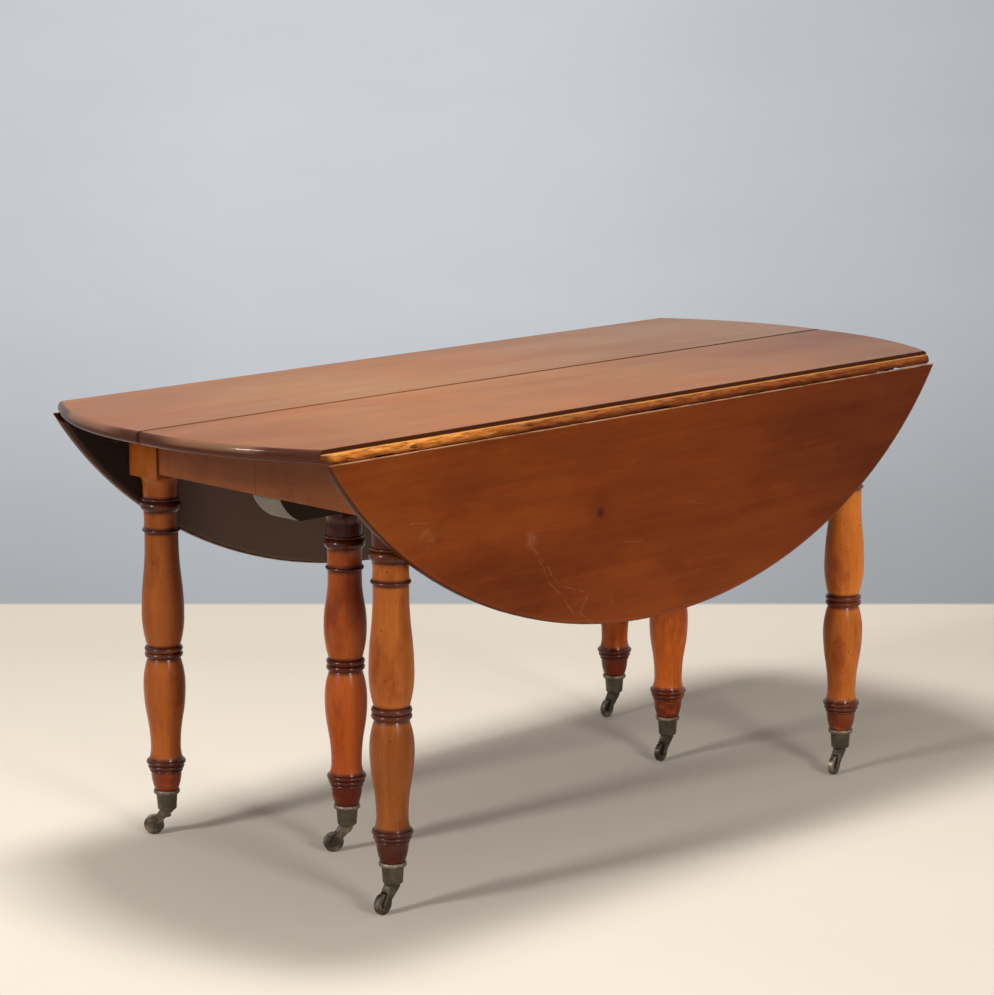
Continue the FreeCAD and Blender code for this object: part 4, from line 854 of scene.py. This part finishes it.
def knuckle_outline(top):
    """Radius and height of each ring, from the rounded foot up to the top."""
    outline = []
    for step in range(1, KNUCKLE_RINGS + 1):
        angle = math.radians(90.0 * step / KNUCKLE_RINGS)
        outline.append((KNUCKLE_RADIUS * math.sin(angle),
                        KNUCKLE_FOOT + KNUCKLE_ROUNDING * (1.0 - math.cos(angle))))
    return outline + [(KNUCKLE_RADIUS, top)]


def turned_mesh(name, outline, axis, sides):
    """Closed mesh of revolution about an upright axis."""
    points = []
    for radius, height in outline:
        for turn in range(sides):
            angle = 2.0 * math.pi * turn / sides
            points.append((axis.x + radius * math.cos(angle), axis.y + radius * math.sin(angle), height))
    faces = []
    for ring in range(len(outline) - 1):
        lower = ring * sides
        upper = lower + sides
        for turn in range(sides):
            after = (turn + 1) % sides
            faces.append((lower + turn, lower + after, upper + after, upper + turn))
    last = (len(outline) - 1) * sides
    faces.append(tuple(last + turn for turn in range(sides)))
    faces.append(tuple(reversed(range(sides))))
    mesh = bpy.data.meshes.new(name)
    mesh.from_pydata(points, [], faces)
    return mesh


def make_knuckle(place, material):
    """Rounded end of the swivel pin, under the horn of a castor."""
    low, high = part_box(f"castor_cup_{place}")
    name = f"castor_knuckle_{place}"
    mesh = turned_mesh(name, knuckle_outline(low.z - SWIVEL_GAP), (low + high) / 2, KNUCKLE_SIDES)
    mesh.materials.append(material)
    knuckle = bpy.data.objects.new(name, mesh)
    bpy.context.scene.collection.objects.link(knuckle)
    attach(knuckle, f"castor_{place}")


# -------------------------------------------------------------------------------------------- dressing
ARRIS = 0.0010
INNER_ARRIS = 0.0006
ARRIS_ANGLE = 40                    # degrees; a sharper edge is rounded
WELD_REACH = 0.00001


def wear(node, material):
    """Give a CAD node one finish."""
    mesh = NODES[node].data
    mesh.materials.clear()
    mesh.materials.append(material)


def soften(node, width):
    """Fine rounded arris on a squared piece."""
    thing = NODES[node]
    weld = thing.modifiers.new("weld", "WELD")
    weld.merge_threshold = WELD_REACH
    bevel = thing.modifiers.new("arris", "BEVEL")
    bevel.width = width
    bevel.segments = 2
    bevel.limit_method = "ANGLE"
    bevel.angle_limit = math.radians(ARRIS_ANGLE)
    bevel.harden_normals = True


def dress_tops():
    for side, sign in SIDES.items():
        wear(f"top_board_{side}", top_material(side, sign))
        wear(f"leaf_{side}", leaf_material(side, sign))


def dress_timber(node, arris, *finish, **gloss):
    """One squared timber: its finish, and its softened arrises."""
    wear(node, frame_material(*finish, **gloss))
    soften(node, arris)


def dress_frame():
    inner = dict(roughness=0.7, coat=0.0, specular=0.2)
    for side, sign in SIDES.items():
        dress_timber(f"long_apron_{side}", ARRIS, f"long_apron_wood_{side}", APRON_PALETTE, "x",
                     2.0 + sign, (0, sign * 0.25, 0.60))
        for end in ENDS:
            node = f"end_apron_{end}_{side}"
            end_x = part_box(node)[0].x
            dress_timber(node, ARRIS, f"end_apron_wood_{end}_{side}", APRON_PALETTE, "y",
                         5.0 + end_x, (end_x * 0.85, 0.0, 0.62))
        for name in ("lopers", "runners"):
            dress_timber(f"{name}_{side}", INNER_ARRIS, f"{name}_wood_{side}", INNER_PALETTE, "y",
                         6.0 + sign, **inner)
        dress_timber(f"glue_blocks_{side}", ARRIS, f"glue_block_wood_{side}", INNER_PALETTE, "x", 8.0,
                     **inner)
    dress_timber("centre_runners", INNER_ARRIS, "centre_runner_wood", INNER_PALETTE, "y", 9.0, **inner)
    wear("centre_bearer", bearer_material())
    soften("centre_bearer", ARRIS)
    wear("seam_dowels", frame_material("dowel_wood", INNER_PALETTE, "y", 3.0, **inner))


def dress_legs():
    for number, place in enumerate(LEG_PLACES):
        wear(f"leg_{place}", leg_material(place, seed=1.3 + 1.9 * number))


def dress_metal():
    cup_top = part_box("castor_cup_left_front")[1].z
    bronze = metal_material("castor_bronze")
    cup = metal_material("cup_bronze", band=(cup_top - CUP_RIM, cup_top))
    wheel = metal_material("wheel_bronze")
    steel = metal_material("axle_steel")
    iron = metal_material("hinge_iron")
    for place in LEG_PLACES:
        wear(f"castor_cup_{place}", cup)
        wear(f"castor_fork_{place}", bronze)
        wear(f"castor_axle_{place}", steel)
        wear(f"castor_wheel_{place}", wheel)
        make_knuckle(place, bronze)
    for side in SIDES:
        for piece in ("top_plates", "leaf_plates", "pins", "top_screws", "leaf_screws"):
            wear(f"hinge_{piece}_{side}", iron)


make_camera()
make_floor()
make_world()
make_lamps()
dress_tops()
dress_frame()
dress_legs()
dress_metal()
bpy.context.scene.view_settings.view_transform = "Standard"
